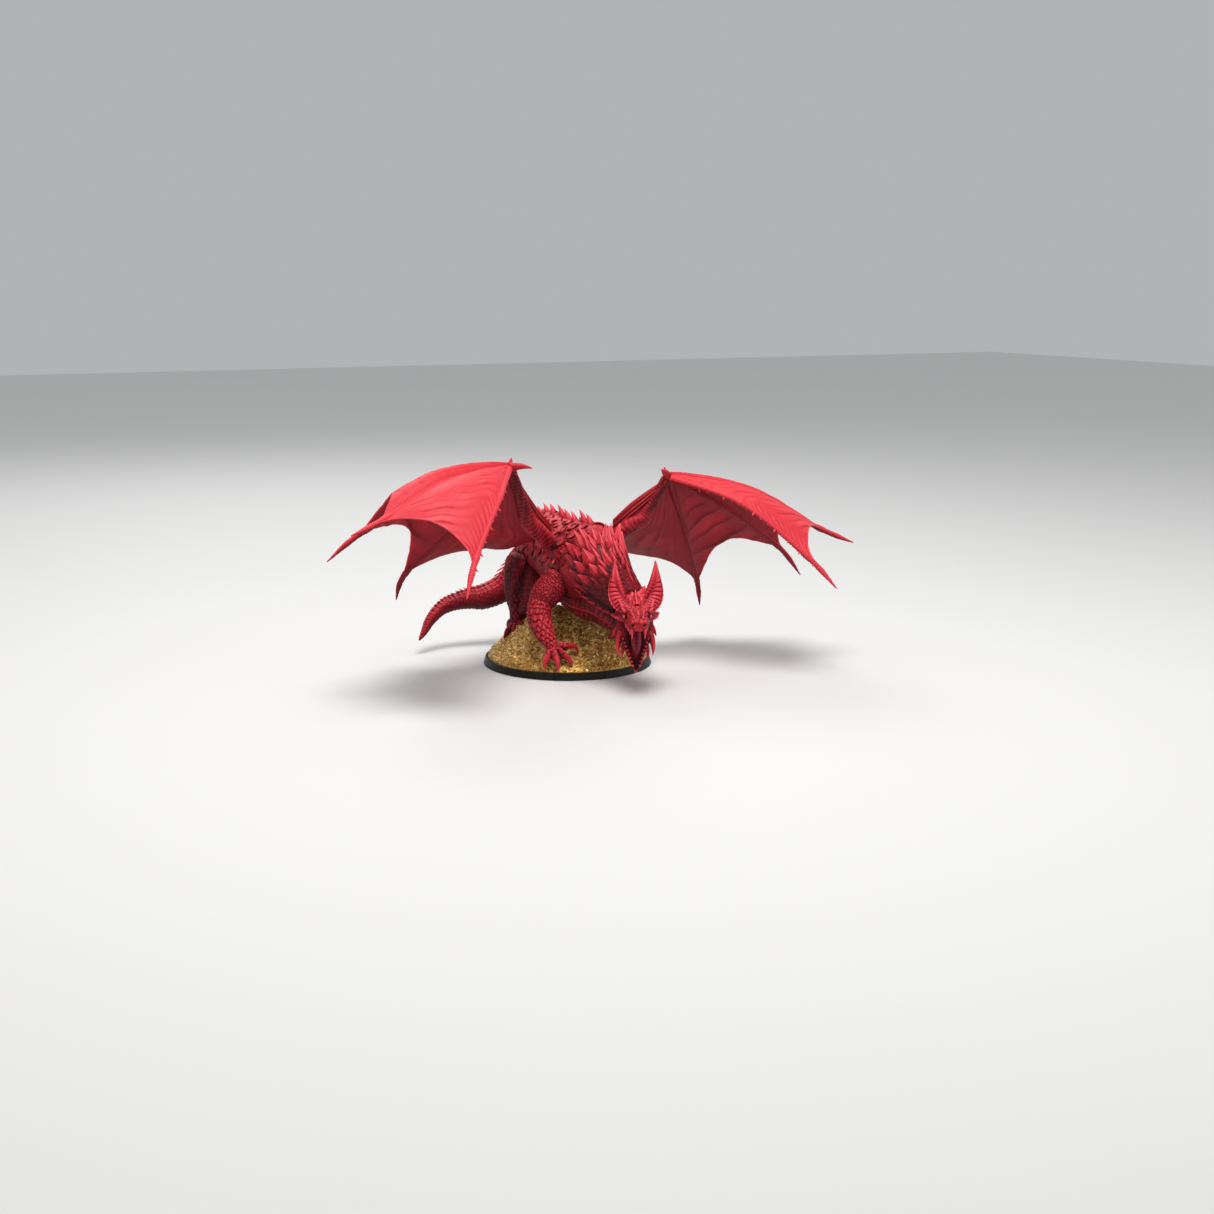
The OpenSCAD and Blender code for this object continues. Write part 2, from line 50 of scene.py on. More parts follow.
torso_sections = [
    [50, 60, 7, 7], [47, 61, 9.5, 10], [40, 63.5, 14, 14.5], [28, 65, 18.5, 18.5],
    [12, 64.5, 19, 19.5], [-8, 64, 20.5, 22.5], [-26, 63, 21, 24],
    [-38, 62.5, 19, 23.5], [-46, 62, 16, 20], [-50, 62, 13, 16]]
neck_line = [[-2, -42, 66, 17], [-2, -51, 58.5, 15.8], [1.2, -59, 51.6, 13.4], [4.2, -66, 47.2, 10.8],
    [5.2, -71, 44.8, 8.6]]
tail_line = [[0, 42, 62, 11], [-1, 49, 56, 10.5], [-5, 55, 46, 9.2], [-13, 59, 36, 8],
    [-25, 63, 30.5, 7.2], [-33, 65, 30, 6.2], [-42, 66, 29, 5.2], [-52, 66, 26, 4.3],
    [-61, 63, 20, 3.3], [-67, 60, 13, 2], [-71, 58, 9, 0.5]]
foreleg_line = [[15, -22, 61, 10.5], [18.5, -22, 53, 9.6], [27.5, -22, 45, 8.6], [32, -25, 36, 7.8],
    [31.2, -29, 27, 6.8], [28.5, -33, 19.5, 5.2], [27.5, -34.5, 13.5, 4.4]]
foreleg_toes = [[34, -36.5, 6], [28.5, -42.5, 5.4], [19, -41, 6.4], [12.4, -36, 12.6]]
left_fore_shift = [0, 8, 2]
hindleg_line = [[14, 28, 61, 11.5], [19, 25, 52, 10.4], [23.5, 21.5, 39, 7],
    [24, 20, 29, 4.6], [25.5, 18, 19.5, 4.6]]
hindleg_toes = [[34, 15, 12.6], [31, 9.5, 13.6], [24.5, 6.5, 18], [27, 25.5, 17.5]]
skull_sections = [[6, -1, 7, 7], [1, 0, 10, 8], [-6, 0.5, 11, 7.6], [-13, 0.8, 9.6, 6.6],
    [-18, 0.9, 7.2, 5.2], [-24, 0.6, 5.6, 4.4], [-28.5, 0.4, 4.8, 3.8], [-31, 0.2, 2.6, 2.2]]
jaw_sections = [[1, 0, 9.8, 3.4], [-6, -0.6, 10.2, 3], [-13, -0.8, 7.8, 2.4], [-20, -0.6, 5, 2],
    [-26, 0, 2.6, 1.7], [-29.5, 0.8, 0.7, 0.8]]
frill_rim = [[4, -19, 4.4], [9, -16, 3.8], [12.6, -12, 4.8], [14.9, -7.4, 8],
    [15.2, -3.4, 12.5], [13.9, 0, 18], [12.6, 2.9, 22.6]]
frill_root = [[3, -16, 6.4], [5, -12.5, 7.6], [6.5, -8.5, 8.6], [8, -4.6, 10.4],
    [9.6, -1.8, 14], [11, 0.8, 18.6], [11.2, 3.4, 23.2]]
wing_root = np.array([19, -18, 74.5])
wing_elbow = np.array([37, -23, 88])
wing_shoulder_top = np.array([20, -18, 86])
wing_wrist = np.array([51.5, -28, 116.5])
thumb_tip = np.array([41.5, -37, 119])
wing_under = np.array([92, -40, 50])
fingers = [
    [[76.5, -68, 105.5], [104, -96, 77.5], [116, -110, 59.5]],
    [[100, -46, 109], [139.5, -60, 91], [160.5, -66, 83]],
    [[91, -26, 101], [135, -22, 78], [156.5, -18, 59]],
    [[75, -10, 82], [98, 12, 50], [103, 16, 33]]]
sail_inner = [[45, -22, 100], [37, -17, 85], [26, -9, 78], [22.5, 6, 73], [21.5, 20, 70]]
scallop = [0.2, 0.3, 0.3, 0.34]
sail_reach = 0.42
billow = [6, 10, 4, 2]
wing_lean = 0.105
peg_r, peg_l, peg_gap = 3, 8, 0.06
pull = np.array([math.cos(math.radians(30)), 0, 0.5])
mound_r = 47.4


# ---- numbers of the looks alone ----

# horns and tongue follow the CAD's, with sharper tips and a fuller curve
horn_line = [[6.5, -4, 5, 3.1], [9.3, -1.2, 11.5, 3.0], [11.2, 1.2, 18.5, 2.3], [11.3, 4.6, 26.2, 0.25]]
tongue_line = [[0, -3.5, 2.4, 2.6], [0, -9, 3.6, 2.9], [0, -14, 4.6, 2.8], [0, -18, 5.2, 2.0],
    [0, -21.5, 5.8, 0.4]]
dewlap = [[-3, -6, 46, 7], [-3.8, -19, 44.5, 9.2], [-4, -31, 43.5, 9.5], [-3.5, -41, 43, 9.6],
    [-1.5, -50, 41, 8.6], [0.8, -57, 37.6, 7.6], [3, -62.5, 34.8, 6.7], [4.6, -68, 32.5, 5.4],
    [4.2, -72.5, 29.5, 2.6]]
thigh_front = [[9, 21, 58, 8.5], [13.5, 15, 47, 8.6], [18, 14.5, 36, 6.6], [22, 16.5, 27, 4.2]]
hump = 4.0                # how far the back rises behind the shoulders, beyond the CAD's oval
mound_foot = 3.3          # height of the mound's underside, inside the base's recess
spread_folds = (5, 6, 6, 7)         # folds side by side on each panel of a sail
fold_weights = ((0.38, 0.08, 0.0), (0.22, 0.18, 0.10), (0.0, 0.09, 0.46), (0.0, 0.42, 0.06))
barb_sizes = (0.5, 1.9, 0.8, 1.2, 0.4, 2.2, 0.9)


# ---- curves ----

def unit(v):
    v = np.asarray(v, float)
    return v / np.maximum(np.linalg.norm(v, axis=-1, keepdims=True), 1e-9)


def arr(*v):
    return np.array(v, float)


def ease(x, a, b):
    t = np.clip((np.asarray(x, float) - a) / (b - a), 0, 1)
    return t * t * (3 - 2 * t)


def bell(x, centre, width):
    return np.exp(-((x - centre) / width) ** 2)


def spline(points, steps=12):
    """Catmull-Rom curve through the points, as in the CAD source."""
    p = np.asarray(points, float)
    q = np.vstack([p[:1], p, p[-1:]])
    t = np.arange(steps)[:, None] / steps
    pieces = []
    for a, b, c, d in zip(q, q[1:], q[2:], q[3:]):
        bend, twist = 2 * a - 5 * b + 4 * c - d, 3 * b - a - 3 * c + d
        pieces.append(0.5 * (2 * b + (c - a) * t + bend * t ** 2 + twist * t ** 3))
    return np.vstack(pieces + [p[-1:]])


def length_along(p):
    return np.r_[0, np.cumsum(np.linalg.norm(np.diff(p[:, :3], axis=0), axis=1))]


def even(p, step):
    """Points about step apart along a polyline, with the distance to each."""
    s = length_along(p)
    t = np.linspace(0, s[-1], max(4, int(round(s[-1] / step))) + 1)
    return t, np.column_stack([np.interp(t, s, p[:, k]) for k in range(p.shape[1])])


def frames(p, top):
    """Directions along a polyline, to its side and to its top."""
    d = unit(np.gradient(p[:, :3], axis=0))
    side = unit(np.cross(d, np.broadcast_to(top, d.shape)))
    return d, side, np.cross(side, d)


def wrapped(a):
    """Angles brought between -pi and pi."""
    return np.angle(np.exp(1j * a))


def mirror(p, side):
    p = np.array(p, float)
    p[..., 0] *= side
    return p


# ---- shapes ----

def lattice(rows, cols, wrap=False):
    """Quads between rows of points, closed into a ring if they wrap round."""
    i, j = np.meshgrid(np.arange(rows - 1), np.arange(cols if wrap else cols - 1), indexing="ij")
    a, b = i * cols + j, i * cols + (j + 1) % cols
    return np.stack([a, b, b + cols, a + cols], -1).reshape(-1, 4)


def tube_faces(rows, cols):
    """Quads round a tube, and the fans that close its ends onto two centre points, which come last."""
    n = rows * cols
    j = np.arange(cols)
    k = (j + 1) % cols
    fans = [np.column_stack([k, j, np.full(cols, n)]),
            np.column_stack([n - cols + j, n - cols + k, np.full(cols, n + 1)])]
    return lattice(rows, cols, True), np.vstack(fans)


def slab_faces(rows, cols):
    """Quads of a lattice, of the same lattice behind it, and of the walls between their edges."""
    m = rows * cols
    top = lattice(rows, cols)
    rim = np.r_[np.arange(cols), np.arange(1, rows) * cols + cols - 1,
                (rows - 1) * cols + np.arange(cols - 2, -1, -1), np.arange(rows - 2, 0, -1) * cols]
    after = np.roll(rim, -1)
    return np.vstack([top, top[:, ::-1] + m, np.column_stack([rim, rim + m, after + m, after])])


def volume(v, faces):
    """Six times the volume that the faces enclose, negative if they look inwards."""
    total = 0.0
    for k in range(1, faces.shape[1] - 1):
        total += (v[faces[:, 0]] * np.cross(v[faces[:, k]], v[faces[:, k + 1]])).sum()
    return total


class Shape:
    """Closed solids gathered into one mesh, with a paint tone at each point."""

    def __init__(self):
        self.v, self.quads, self.tris, self.tone, self.n = [], [], [], [], 0

    def add(self, v, quads=(), tris=(), tone=0.5):
        v = np.asarray(v, float).reshape(-1, 3)
        quads = np.asarray(quads, int).reshape(-1, 4)
        tris = np.asarray(tris, int).reshape(-1, 3)
        c = v - v.mean(axis=0)
        if volume(c, quads) + volume(c, tris) < 0:
            quads, tris = quads[:, ::-1], tris[:, ::-1]
        self.v.append(v)
        self.quads.append(quads + self.n)
        self.tris.append(tris + self.n)
        self.tone.append(np.broadcast_to(np.asarray(tone, float).reshape(-1), len(v)).copy())
        self.n += len(v)

    def join(self):
        """Points, quads, triangles and tones of everything that was added."""
        return np.vstack(self.v), np.vstack(self.quads), np.vstack(self.tris), np.concatenate(self.tone)


def mesh_of(name, v, quads, tris, scale=1.0):
    me = bpy.data.meshes.new(name)
    me.vertices.add(len(v))
    me.vertices.foreach_set("co", (np.asarray(v) * scale).astype(np.float32).ravel())
    loops = np.concatenate([quads.ravel(), tris.ravel()]).astype(np.int32)
    starts = np.concatenate([np.arange(len(quads)) * 4, len(quads) * 4 + np.arange(len(tris)) * 3])
    me.loops.add(len(loops))
    me.loops.foreach_set("vertex_index", loops)
    me.polygons.add(len(starts))
    me.polygons.foreach_set("loop_start", starts.astype(np.int32))
    me.update(calc_edges=True)
    return me


def arrays_of(me):
    v = np.empty(len(me.vertices) * 3, np.float32)
    me.vertices.foreach_get("co", v)
    n = np.empty(len(me.polygons), np.int32)
    me.polygons.foreach_get("loop_total", n)
    start = np.empty(len(me.polygons), np.int32)
    me.polygons.foreach_get("loop_start", start)
    loop = np.empty(len(me.loops), np.int32)
    me.loops.foreach_get("vertex_index", loop)
    quads = loop[start[n == 4][:, None] + np.arange(4)]
    tris = [loop[start[n == 3][:, None] + np.arange(3)]]
    for s, k in zip(start[n > 4], n[n > 4]):
        fan = loop[s:s + k]
        tris.append(np.column_stack([np.full(k - 2, fan[0]), fan[1:-1], fan[2:]]))
    return v.reshape(-1, 3).astype(float), quads.reshape(-1, 4), np.vstack(tris).reshape(-1, 3)


def normals(v, quads, tris=np.zeros((0, 3), int)):
    out = np.zeros_like(v)
    across = np.cross(v[quads[:, 2]] - v[quads[:, 0]], v[quads[:, 3]] - v[quads[:, 1]])
    beside = np.cross(v[tris[:, 1]] - v[tris[:, 0]], v[tris[:, 2]] - v[tris[:, 0]])
    for f, n in ((quads, across), (tris, beside)):
        for corner, c in product(f.T, range(3)):
            out[:, c] += np.bincount(corner, n[:, c], len(v))
    return unit(out)


def tube(shape, line, sides=32, step=0.6, top=(0, 0, 1), relief=None, tone=0.5, ends=(0, 0), flat=1.0,
         curve=True):
    """A round limb along a line of [x, y, z, radius].

    relief(s, a, r) is added to the radius: s is the distance along the limb, and a is 90 degrees on top.
    ends are the lengths over which its two ends are rounded, and flat squeezes it from top to bottom.
    """
    s, p = even(spline(line) if curve else np.asarray(line, float), step)
    _, side, up = frames(p, top)
    a = np.arange(sides) * 2 * math.pi / sides
    given = p[:, 3:4]
    r = given.copy()
    for reach, dist in zip(ends, (s, s[-1] - s)):
        if reach:
            q = np.clip(1 - dist / reach, 0, 1)
            r = r * np.sqrt(np.maximum(1 - q * q, 0.0004))[:, None]
    r = np.repeat(r, sides, axis=1)
    extra = relief(s[:, None], a[None, :], given) if relief else 0 * r
    r = r + extra * np.clip(r / np.maximum(given, 1e-6), 0, 1)
    spoke = np.cos(a)[None, :, None] * side[:, None] + flat * np.sin(a)[None, :, None] * up[:, None]
    v = p[:, None, :3] + r[..., None] * spoke
    quads, tris = tube_faces(len(p), sides)
    shade = tone(s[:, None], a[None, :], extra) if callable(tone) else tone
    shade = np.broadcast_to(shade, (len(p), sides)).ravel()
    shape.add(np.vstack([v.reshape(-1, 3), p[0, :3], p[-1, :3]]), quads, tris,
              np.r_[shade, shade[0], shade[-1]])


def claw(shape, a, b, r, bend=(0, 0, 0), sides=10, rows=10, power=0.8, tone=0.5, groove=0.0):
    """A curved taper from a to b, bowed by bend at its middle, lighter towards its tip."""
    a, b, bend = arr(*a), arr(*b), arr(*bend)
    t = np.linspace(0, 1, rows)[:, None]
    middle = a * (1 - t) + b * t + bend * 4 * t * (1 - t)
    radius = r * (1 - t) ** power + 0.06
    tube(shape, np.hstack([middle, radius]), sides=sides, step=np.linalg.norm(b - a) / rows, curve=False,
         top=unit(np.cross(b - a, [0.31, 0.17, 0.93]) + [0.01, 0, 0]),
         relief=lambda s, ang, given: groove * given * np.cos(3 * ang),
         tone=lambda s, ang, extra: tone + 0.22 * s / s[-1, 0])


def slab(shape, face, back, tone, back_tone):
    """A sheet between two lattices of points, with walls round its edge."""
    rows_cols = face.shape[:2]
    v = np.vstack([face.reshape(-1, 3), back.reshape(-1, 3)])
    tones = [np.broadcast_to(t, rows_cols).ravel() for t in (tone, back_tone)]
    shape.add(v, slab_faces(*rows_cols), tone=np.concatenate(tones))


def plate(shape, base, normal, heading, length, width, lift=0.3, keel=0.5, thick=0.6, point=1.5, ribs=0,
          curl=0.0, tone=0.6, nu=10, nv=9, droop=0.0):
    """An overlapping scale rooted at base, lying along heading, its tip raised along normal.

    keel is the height of its middle line, point is how blunt it is, curl lifts its tip and droop lowers
    its sides.
    """
    n = unit(normal)
    h = np.asarray(heading, float)
    h = unit(h - n * (h @ n))
    w = np.cross(h, n)
    u = np.linspace(0, 1, nu)[:, None]
    v = np.sin(np.linspace(-1, 1, nv) * math.pi / 2)[None, :]
    late = np.clip((u - 0.32) / 0.68, 0, 1)
    growth = 0.62 + 0.38 * np.sin(math.pi / 2 * np.clip(u / 0.32, 0, 1))
    half = np.maximum(width / 2 * growth * (1 - late ** point) ** 0.85, 0.06)
    crown = keel * (1 - np.abs(v) ** 0.9) * np.sin(math.pi * np.clip(0.12 + 0.8 * u, 0, 1)) ** 0.7
    z = length * lift * u ** 1.35 + crown + curl * length * u ** 3 - droop * width * v * v * (1 - 0.6 * u)
    if ribs:
        z = z + 0.16 * np.cos(v * ribs * math.pi) * np.sin(math.pi * np.clip(u * 1.05, 0, 1))
    top = base + u[..., None] * length * h + (v * half)[..., None] * w + z[..., None] * n
    depth = np.maximum(thick * (1 - 0.75 * v * v) * (1 - 0.65 * u), 0.14)
    edge = np.maximum(np.abs(v) ** 4 * np.ones_like(u), u ** 5)
    ridge = (1 - np.abs(v)) ** 3 * ease(u, 0.1, 0.5)
    # painted light and shade: the edges and middle ridge are painted lighter as highlights, the root, under
    # the plate before, is painted darker as shade, and the underside darker still
    shade = tone + 0.24 * edge + 0.16 * ridge - 0.38 * (1 - ease(u, 0.0, 0.36))
    slab(shape, top, top - depth[..., None] * n, shade, tone - 0.24)


def block(shape, centre, axes, size, tone=0.5):
    """A small box with its edges cut, on three unit axes."""
    size = np.asarray(size, float)
    b = min(size) * 0.2
    rings = []
    for z, inset in ((-1, b), (-1 + 2 * b / size[2], 0), (1 - 2 * b / size[2], 0), (1, b)):
        x, y = size[0] / 2 - inset, size[1] / 2 - inset
        c = min(x, y) * 0.25
        rings.append([[x, -y + c, z], [x, y - c, z], [x - c, y, z], [-x + c, y, z],
                      [-x, y - c, z], [-x, -y + c, z], [-x + c, -y, z], [x - c, -y, z]])
    r = np.array(rings, float)
    r[..., 2] *= size[2] / 2
    v = centre + r.reshape(-1, 3) @ np.asarray(axes, float)
    v = np.vstack([v, v[:8].mean(axis=0), v[-8:].mean(axis=0)])
    shape.add(v, *tube_faces(4, 8), tone)


def placed(name, data):
    """A new object, linked to the scene."""
    o = bpy.data.objects.new(name, data)
    bpy.context.collection.objects.link(o)
    return o


def evaluated(o):
    """Points and faces of an object after its modifiers."""
    bpy.context.view_layer.update()
    graph = bpy.context.evaluated_depsgraph_get()
    return arrays_of(bpy.data.meshes.new_from_object(o.evaluated_get(graph)))


def fused(shape, voxel=0.36, rounds=4):
    """One smooth skin over overlapping solids."""
    o = placed("skin", mesh_of("skin", *shape.join()[:3]))
    remesh = o.modifiers.new("remesh", "REMESH")
    remesh.mode = "VOXEL"
    remesh.voxel_size = voxel
    smooth = o.modifiers.new("smooth", "SMOOTH")
    smooth.factor = 0.5
    smooth.iterations = rounds
    out = evaluated(o)
    bpy.data.objects.remove(o)
    return out


def cut(shape, cutters):
    """The shape with closed cutters taken out of it."""
    made = [placed("cut", mesh_of("cut", *shape.join()[:3]))]
    for c in cutters:
        made.append(placed("cutter", mesh_of("cutter", *c.join()[:3])))
        m = made[0].modifiers.new("cut", "BOOLEAN")
        m.operation = "DIFFERENCE"
        m.object = made[-1]
        m.solver = "EXACT"
    out = evaluated(made[0])
    for o in made:
        bpy.data.objects.remove(o)
    return out


def tree_of(points):
    """The points, ready for finding the one nearest to a place."""
    tree = KDTree(len(points))
    for i, p in enumerate(points):
        tree.insert(p, i)
    tree.balance()
    return tree


class Limb:
    """Places on a limb along a line of [x, y, z, radius], for its plates and thorns."""

    def __init__(self, line, step, top=(0, 0, 1)):
        self.s, self.p = even(line, step)
        self.d, self.side, self.up = frames(self.p, top)

    def out(self, i, deg):
        """Direction away from the limb at an angle round it, 90 degrees on top."""
        a = math.radians(deg)
        return math.cos(a) * self.side[i] + math.sin(a) * self.up[i]

    def skin(self, i, out, sink=0.0):
        """The surface in that direction, or a point that is sunk below it."""
        return self.p[i, :3] + out * (self.p[i, 3] - sink)

    def shield(self, shape, i, deg, sink, length, width, **look):
        """A plate that points along the limb."""
        out = self.out(i, deg)
        plate(shape, self.skin(i, out, sink), out, self.d[i], length, width, **look)


# ---- surface patterns ----

def scatter_hash(c, seed):
    """A repeatable number from 0 to 1 for each whole-number point."""
    h = np.sin(c @ np.array([127.1, 311.7, 74.7]) + seed * 17.31) * 43758.5453
    return h - np.floor(h)


def cells(p, size, seed=0):
    """Rounded cells: distance to the nearest border, 0 to about 0.5, and a random number per cell."""
    q = np.asarray(p, float) / size
    base = np.floor(q)
    best = np.full(len(q), 9.0)
    second = best.copy()
    ident = np.zeros(len(q))
    for off in product((-1, 0, 1), repeat=3):
        c = base + off
        spot = c + 0.5 + 0.75 * (np.stack([scatter_hash(c, seed + k) for k in (1, 2, 3)], -1) - 0.5)
        d = np.linalg.norm(spot - q, axis=1)
        near = d < best
        second = np.where(near, best, np.minimum(second, d))
        ident = np.where(near, scatter_hash(c, seed + 4), ident)
        best = np.where(near, d, best)
    return second - best, ident


def scales(x, y, row, width, depth):
    """Overlapping rounded scales: x runs towards their tips and y across them, both in millimetres."""
    out = np.zeros(np.broadcast(x, y).shape)
    i = np.floor(x / row)
    for back in (0, 1):
        k = i - back
        u = (x / row - k) / 2                       # 0 at the root, 1 at the tip
        c = y / width + 0.5 * (k % 2)
        g = np.abs(c - np.floor(c) - 0.5) * 2
        inside = g < np.sqrt(np.clip(1 - (2 * np.clip(u - 0.5, 0, 1)) ** 2, 0, 1)) * 0.98
        h = depth * (0.15 + 0.85 * u) * (1 - 0.45 * g ** 2)
        out = np.where(inside, np.maximum(out, h), out)
    return out


def rings(s, period, depth):
    """Overlapping rings along s: each rises slowly and drops back at its end."""
    f = s / period - np.floor(s / period)
    return depth * f ** 0.75 * (1 - ease(f, 0.9, 1.0))


# ---- frames of the parts ----

def turn(axis, degrees):
    """The matrix of a turn about one of the main axes."""
    return np.array(Matrix.Rotation(math.radians(degrees), 3, axis))


HEAD = turn("Z", -26) @ turn("X", 10)
head_pos = arr(5, -70.9, 44.8)
JAW = turn("X", 55)


def at_head(p):
    return np.asarray(p, float) @ HEAD.T + head_pos


def at_jaw(p):
    return at_head(np.asarray(p, float) @ JAW.T + [0, -3, -6])


def wing_at(p, side):
    """Points of the left wing brought to either side, with the lean that sets the two wings apart."""
    p = np.array(p, float)
    x, y = p[..., 0], p[..., 1]
    p[..., 2] -= side * wing_lean * x * np.clip((x - 30) / 18, 0, 1) * np.minimum(1, 1 + (y + 20) * 0.0045)
    p[..., 0] *= side
    return p


torso_line = spline(torso_sections, 10)[::-1]


def torso_at(y, a, grow=0.0):
    """Points of the torso's oval at y, at angle a round it, 90 degrees on top."""
    zc, hw, hh = (np.interp(y, torso_line[:, 0], torso_line[:, k]) for k in (1, 2, 3))
    grow = grow + hump * bell(y, 18, 15) * bell(a, math.pi / 2, 0.5)
    return np.stack(np.broadcast_arrays((hw + grow) * np.cos(a), y, zc + (hh + grow) * np.sin(a)), -1)


def torso_normal(y, a):
    du = torso_at(y + 0.6, a) - torso_at(y - 0.6, a)
    da = torso_at(y, a + 0.03) - torso_at(y, a - 0.03)
    return unit(np.cross(da, -du)) * -1


# ---- wings ----

def away(p):
    """The direction in which the sail bulges, away from a point below it."""
    return unit(p - wing_under)


def sail_ribs():
    """The lines that the sail hangs on: the four fingers as far as its edge, and its inner edge."""
    lines = []
    for first, second, tip in np.array(fingers, float):
        edge = second + sail_reach * (tip - second)
        lines.append(np.vstack([spline([wing_wrist, first, second], 10)[::2], edge]))
    return lines + [spline([wing_wrist] + sail_inner, 2)]


sail_lines = sail_ribs()


def rib_point(k, t):
    """Points of rib k, with t from 0 at the wrist to 1 at the sail's edge."""
    r = spline(sail_lines[k], 6)
    f = np.clip(t, 0, 1) * (len(r) - 1)
    return np.stack([np.interp(f, np.arange(len(r)), r[:, c]) for c in range(3)], -1)


def sail_point(k, q, t):
    """Points of panel k: q goes from its leading rib to the next one, and t from the wrist outwards."""
    hollow = 4 * q * (1 - q)
    s = t * (1 - scallop[k] * hollow ** 0.6 * (1 - 0.85 * q if k == 3 else 1))
    p = rib_point(k, s) * (1 - q)[..., None] + rib_point(k + 1, s) * q[..., None]
    return p + away(p) * (billow[k] * hollow * np.sin(math.pi * (0.1 + 0.5 * t)))[..., None]


def crease(x):
    """Rounded folds between narrow creases, from -1 to 1."""
    return 1 - 2 * np.exp(-(np.sin(x / 2) / 0.34) ** 2)


def leg_path(line, side, shift=(0, 0, 0)):
    p = np.array(line, float)
    last = len(p) - 1
    grow = np.maximum(0, np.arange(len(p)) - 1) / (last - 1)
    p[:, :3] += grow[:, None] * np.array(shift, float)
    return mirror(p, side)


def sail_folds(k, q, t):
    """Height of the wrinkles of panel k, in millimetres."""
    tau = 2 * math.pi
    hollow = 4 * q * (1 - q)
    wob = np.sin(5.1 * t + 2.3 * k) + 0.8 * np.sin(9 * q + 1.7 * k) + 0.5 * np.sin(17 * t * q + k)
    patchy = 0.5 + 0.9 * np.sin(7 * q + 5 * t + 2 * k) * np.sin(11 * t - 4 * q + k)
    patchy = np.clip(patchy + 0.35 * np.sin(23 * t + 9 * q), 0, 1)
    cross = crease(tau * (15 * (t - 0.32 * q) + 0.35 * wob))
    cross += 0.5 * np.sin(tau * (6 * (t - 0.4 * q) + 0.2 * wob))
    radial = crease(tau * (spread_folds[k] * q + 0.22 * wob)) + 0.4 * np.sin(tau * (11 * q + 0.4 * wob))
    slack = t * (1 - 0.3 * hollow)
    swag = crease(tau * (10 * slack + 0.12 * wob)) + 0.5 * np.sin(tau * 4 * slack)
    mid = np.clip(np.sin(math.pi * q), 0, 1) ** 0.7
    wc, wr, ws = fold_weights[k]
    height = wc * cross * patchy + wr * radial * (0.4 + 0.6 * patchy) + ws * swag * ease(t, 0.2, 0.6)
    return ease(t, 0.05, 0.25) * mid * height


def sail_face(t):
    """Points of the four panels at distances t from the wrist, and the height of their folds."""
    cols = 44
    faces, folds = [], []
    for k in range(4):
        Q, T = np.meshgrid(np.arange(cols + (k == 3)) / cols, t)
        if k == 0:      # short creases that pull on the leading finger near its tip
            wave = np.sin(T * 140 + 9 * Q + 0.8 * np.sin(T * 31))
            pinch = 0.46 * bell(Q, 0, 0.13) * ease(T, 0.4, 0.7) * wave
        else:
            pinch = 0.2 * bell(Q, 0, 0.07) * ease(T, 0.55, 0.8) * np.sin(T * 130)
        p = sail_point(k, Q, T)
        fold = sail_folds(k, Q, T) + pinch
        faces.append(p + away(p) * fold[..., None])
        folds.append(fold)
    return np.concatenate(faces, axis=1), np.concatenate(folds, axis=1)


def clear_of_thigh(face):
    """The sail's points, pushed away from the hind leg where they come near it."""
    leg = spline(leg_path(hindleg_line, LEFT), 6)
    d = face[..., None, :] - leg[:, :3]
    dist = np.linalg.norm(d, axis=-1)
    near = dist.argmin(-1)
    gap = np.take_along_axis(dist, near[..., None], -1)[..., 0]
    push = np.maximum(0, leg[near, 3] + 2.0 - gap)
    return face + unit(np.take_along_axis(d, near[..., None, None], 2)[..., 0, :]) * push[..., None]


def add_finger(sh, k, side):
    """The bone on a panel's leading side, ringed towards its tip, with thorns on its free side."""
    line = spline([wing_wrist, *fingers[k]], 10)
    line = line - away(line) * 0.5
    s = length_along(line)
    end = s[24]                     # where the sail ends and the finger goes on alone
    leading = k == 0
    radius = np.interp(s, [0, s[6], s[14], s[20], end, s[-1]], [2.2, 1.5, 1.3, 1.45, 1.6, 0.3])
    radius += 0.45 * bell(s, s[10], 3.0) + 0.5 * bell(s, s[20], 3.0)
    outward = wing_at(line + away(line), side) - wing_at(line, side)

    def bumps(s, a, r):
        near_tip = ease(s, end * 0.45, end * 0.8) * (1 - ease(s, end, end + 5))
        ringed = near_tip * 0.22 * np.sin(s * 3.6) * (1 if leading else 0.6)
        return ringed + 0.05 * np.sin(s * 1.7 + 3 * np.cos(a))

    # painted light: the top of the bone and its raised rings are painted lighter and its underside darker, as
    # if lit from above; the free tip is a little lighter
    def shade(s, a, extra):
        return 0.47 + 0.30 * np.clip(2.2 * np.sin(a), -0.75, 1) + 0.5 * extra + 0.06 * ease(s, end, end + 6)

    tube(sh, np.hstack([wing_at(line, side), radius[:, None]]), sides=16, step=0.8, relief=bumps, curve=False,
         top=unit(outward[12]), tone=shade)
    d = unit(np.gradient(line, axis=0))
    into = sail_point(k, np.full(len(line), 0.12), np.clip(s / end, 0, 1)) - line
    for i in range(3, 24, 1 if leading else 6):
        if leading:
            out = unit(-into[i] + d[i] * (into[i] @ d[i]) + 0.5 * d[i])
            size = barb_sizes[i % len(barb_sizes)]
        else:
            out = unit(away(line[i]) + 0.8 * d[i])
            size = 1.0
        barb = wing_at(np.array([line[i] + out * 0.6, line[i] + out * (size + 1.2)]), side)
        claw(sh, *barb, 0.95, bend=mirror(d[i] * -0.3, side), sides=7, rows=6, tone=0.66)


def make_sail(side):
    sh = Shape()
    t = 0.05 + 0.95 * np.linspace(0, 1, 130) ** 0.92
    face, fold = sail_face(t)
    face = clear_of_thigh(face)
    T = np.broadcast_to(t[:, None], fold.shape)
    thick = 0.75 + 0.45 * (1 - ease(T, 0.7, 1.0))
    back = face - away(face) * thick[..., None]
    # painted light and shade: the fold ridges are painted lighter and their creases darker, the outer edge
    # lighter as a painted highlight, and the underside darker than the upper side as painted shade
    tone = 0.28 * fold + 0.12 * ease(T, 0.975, 1.0)
    slab(sh, wing_at(face, side), wing_at(back, side), 0.74 + tone, 0.34 + tone)
    for k in range(4):
        add_finger(sh, k, side)
    return sh


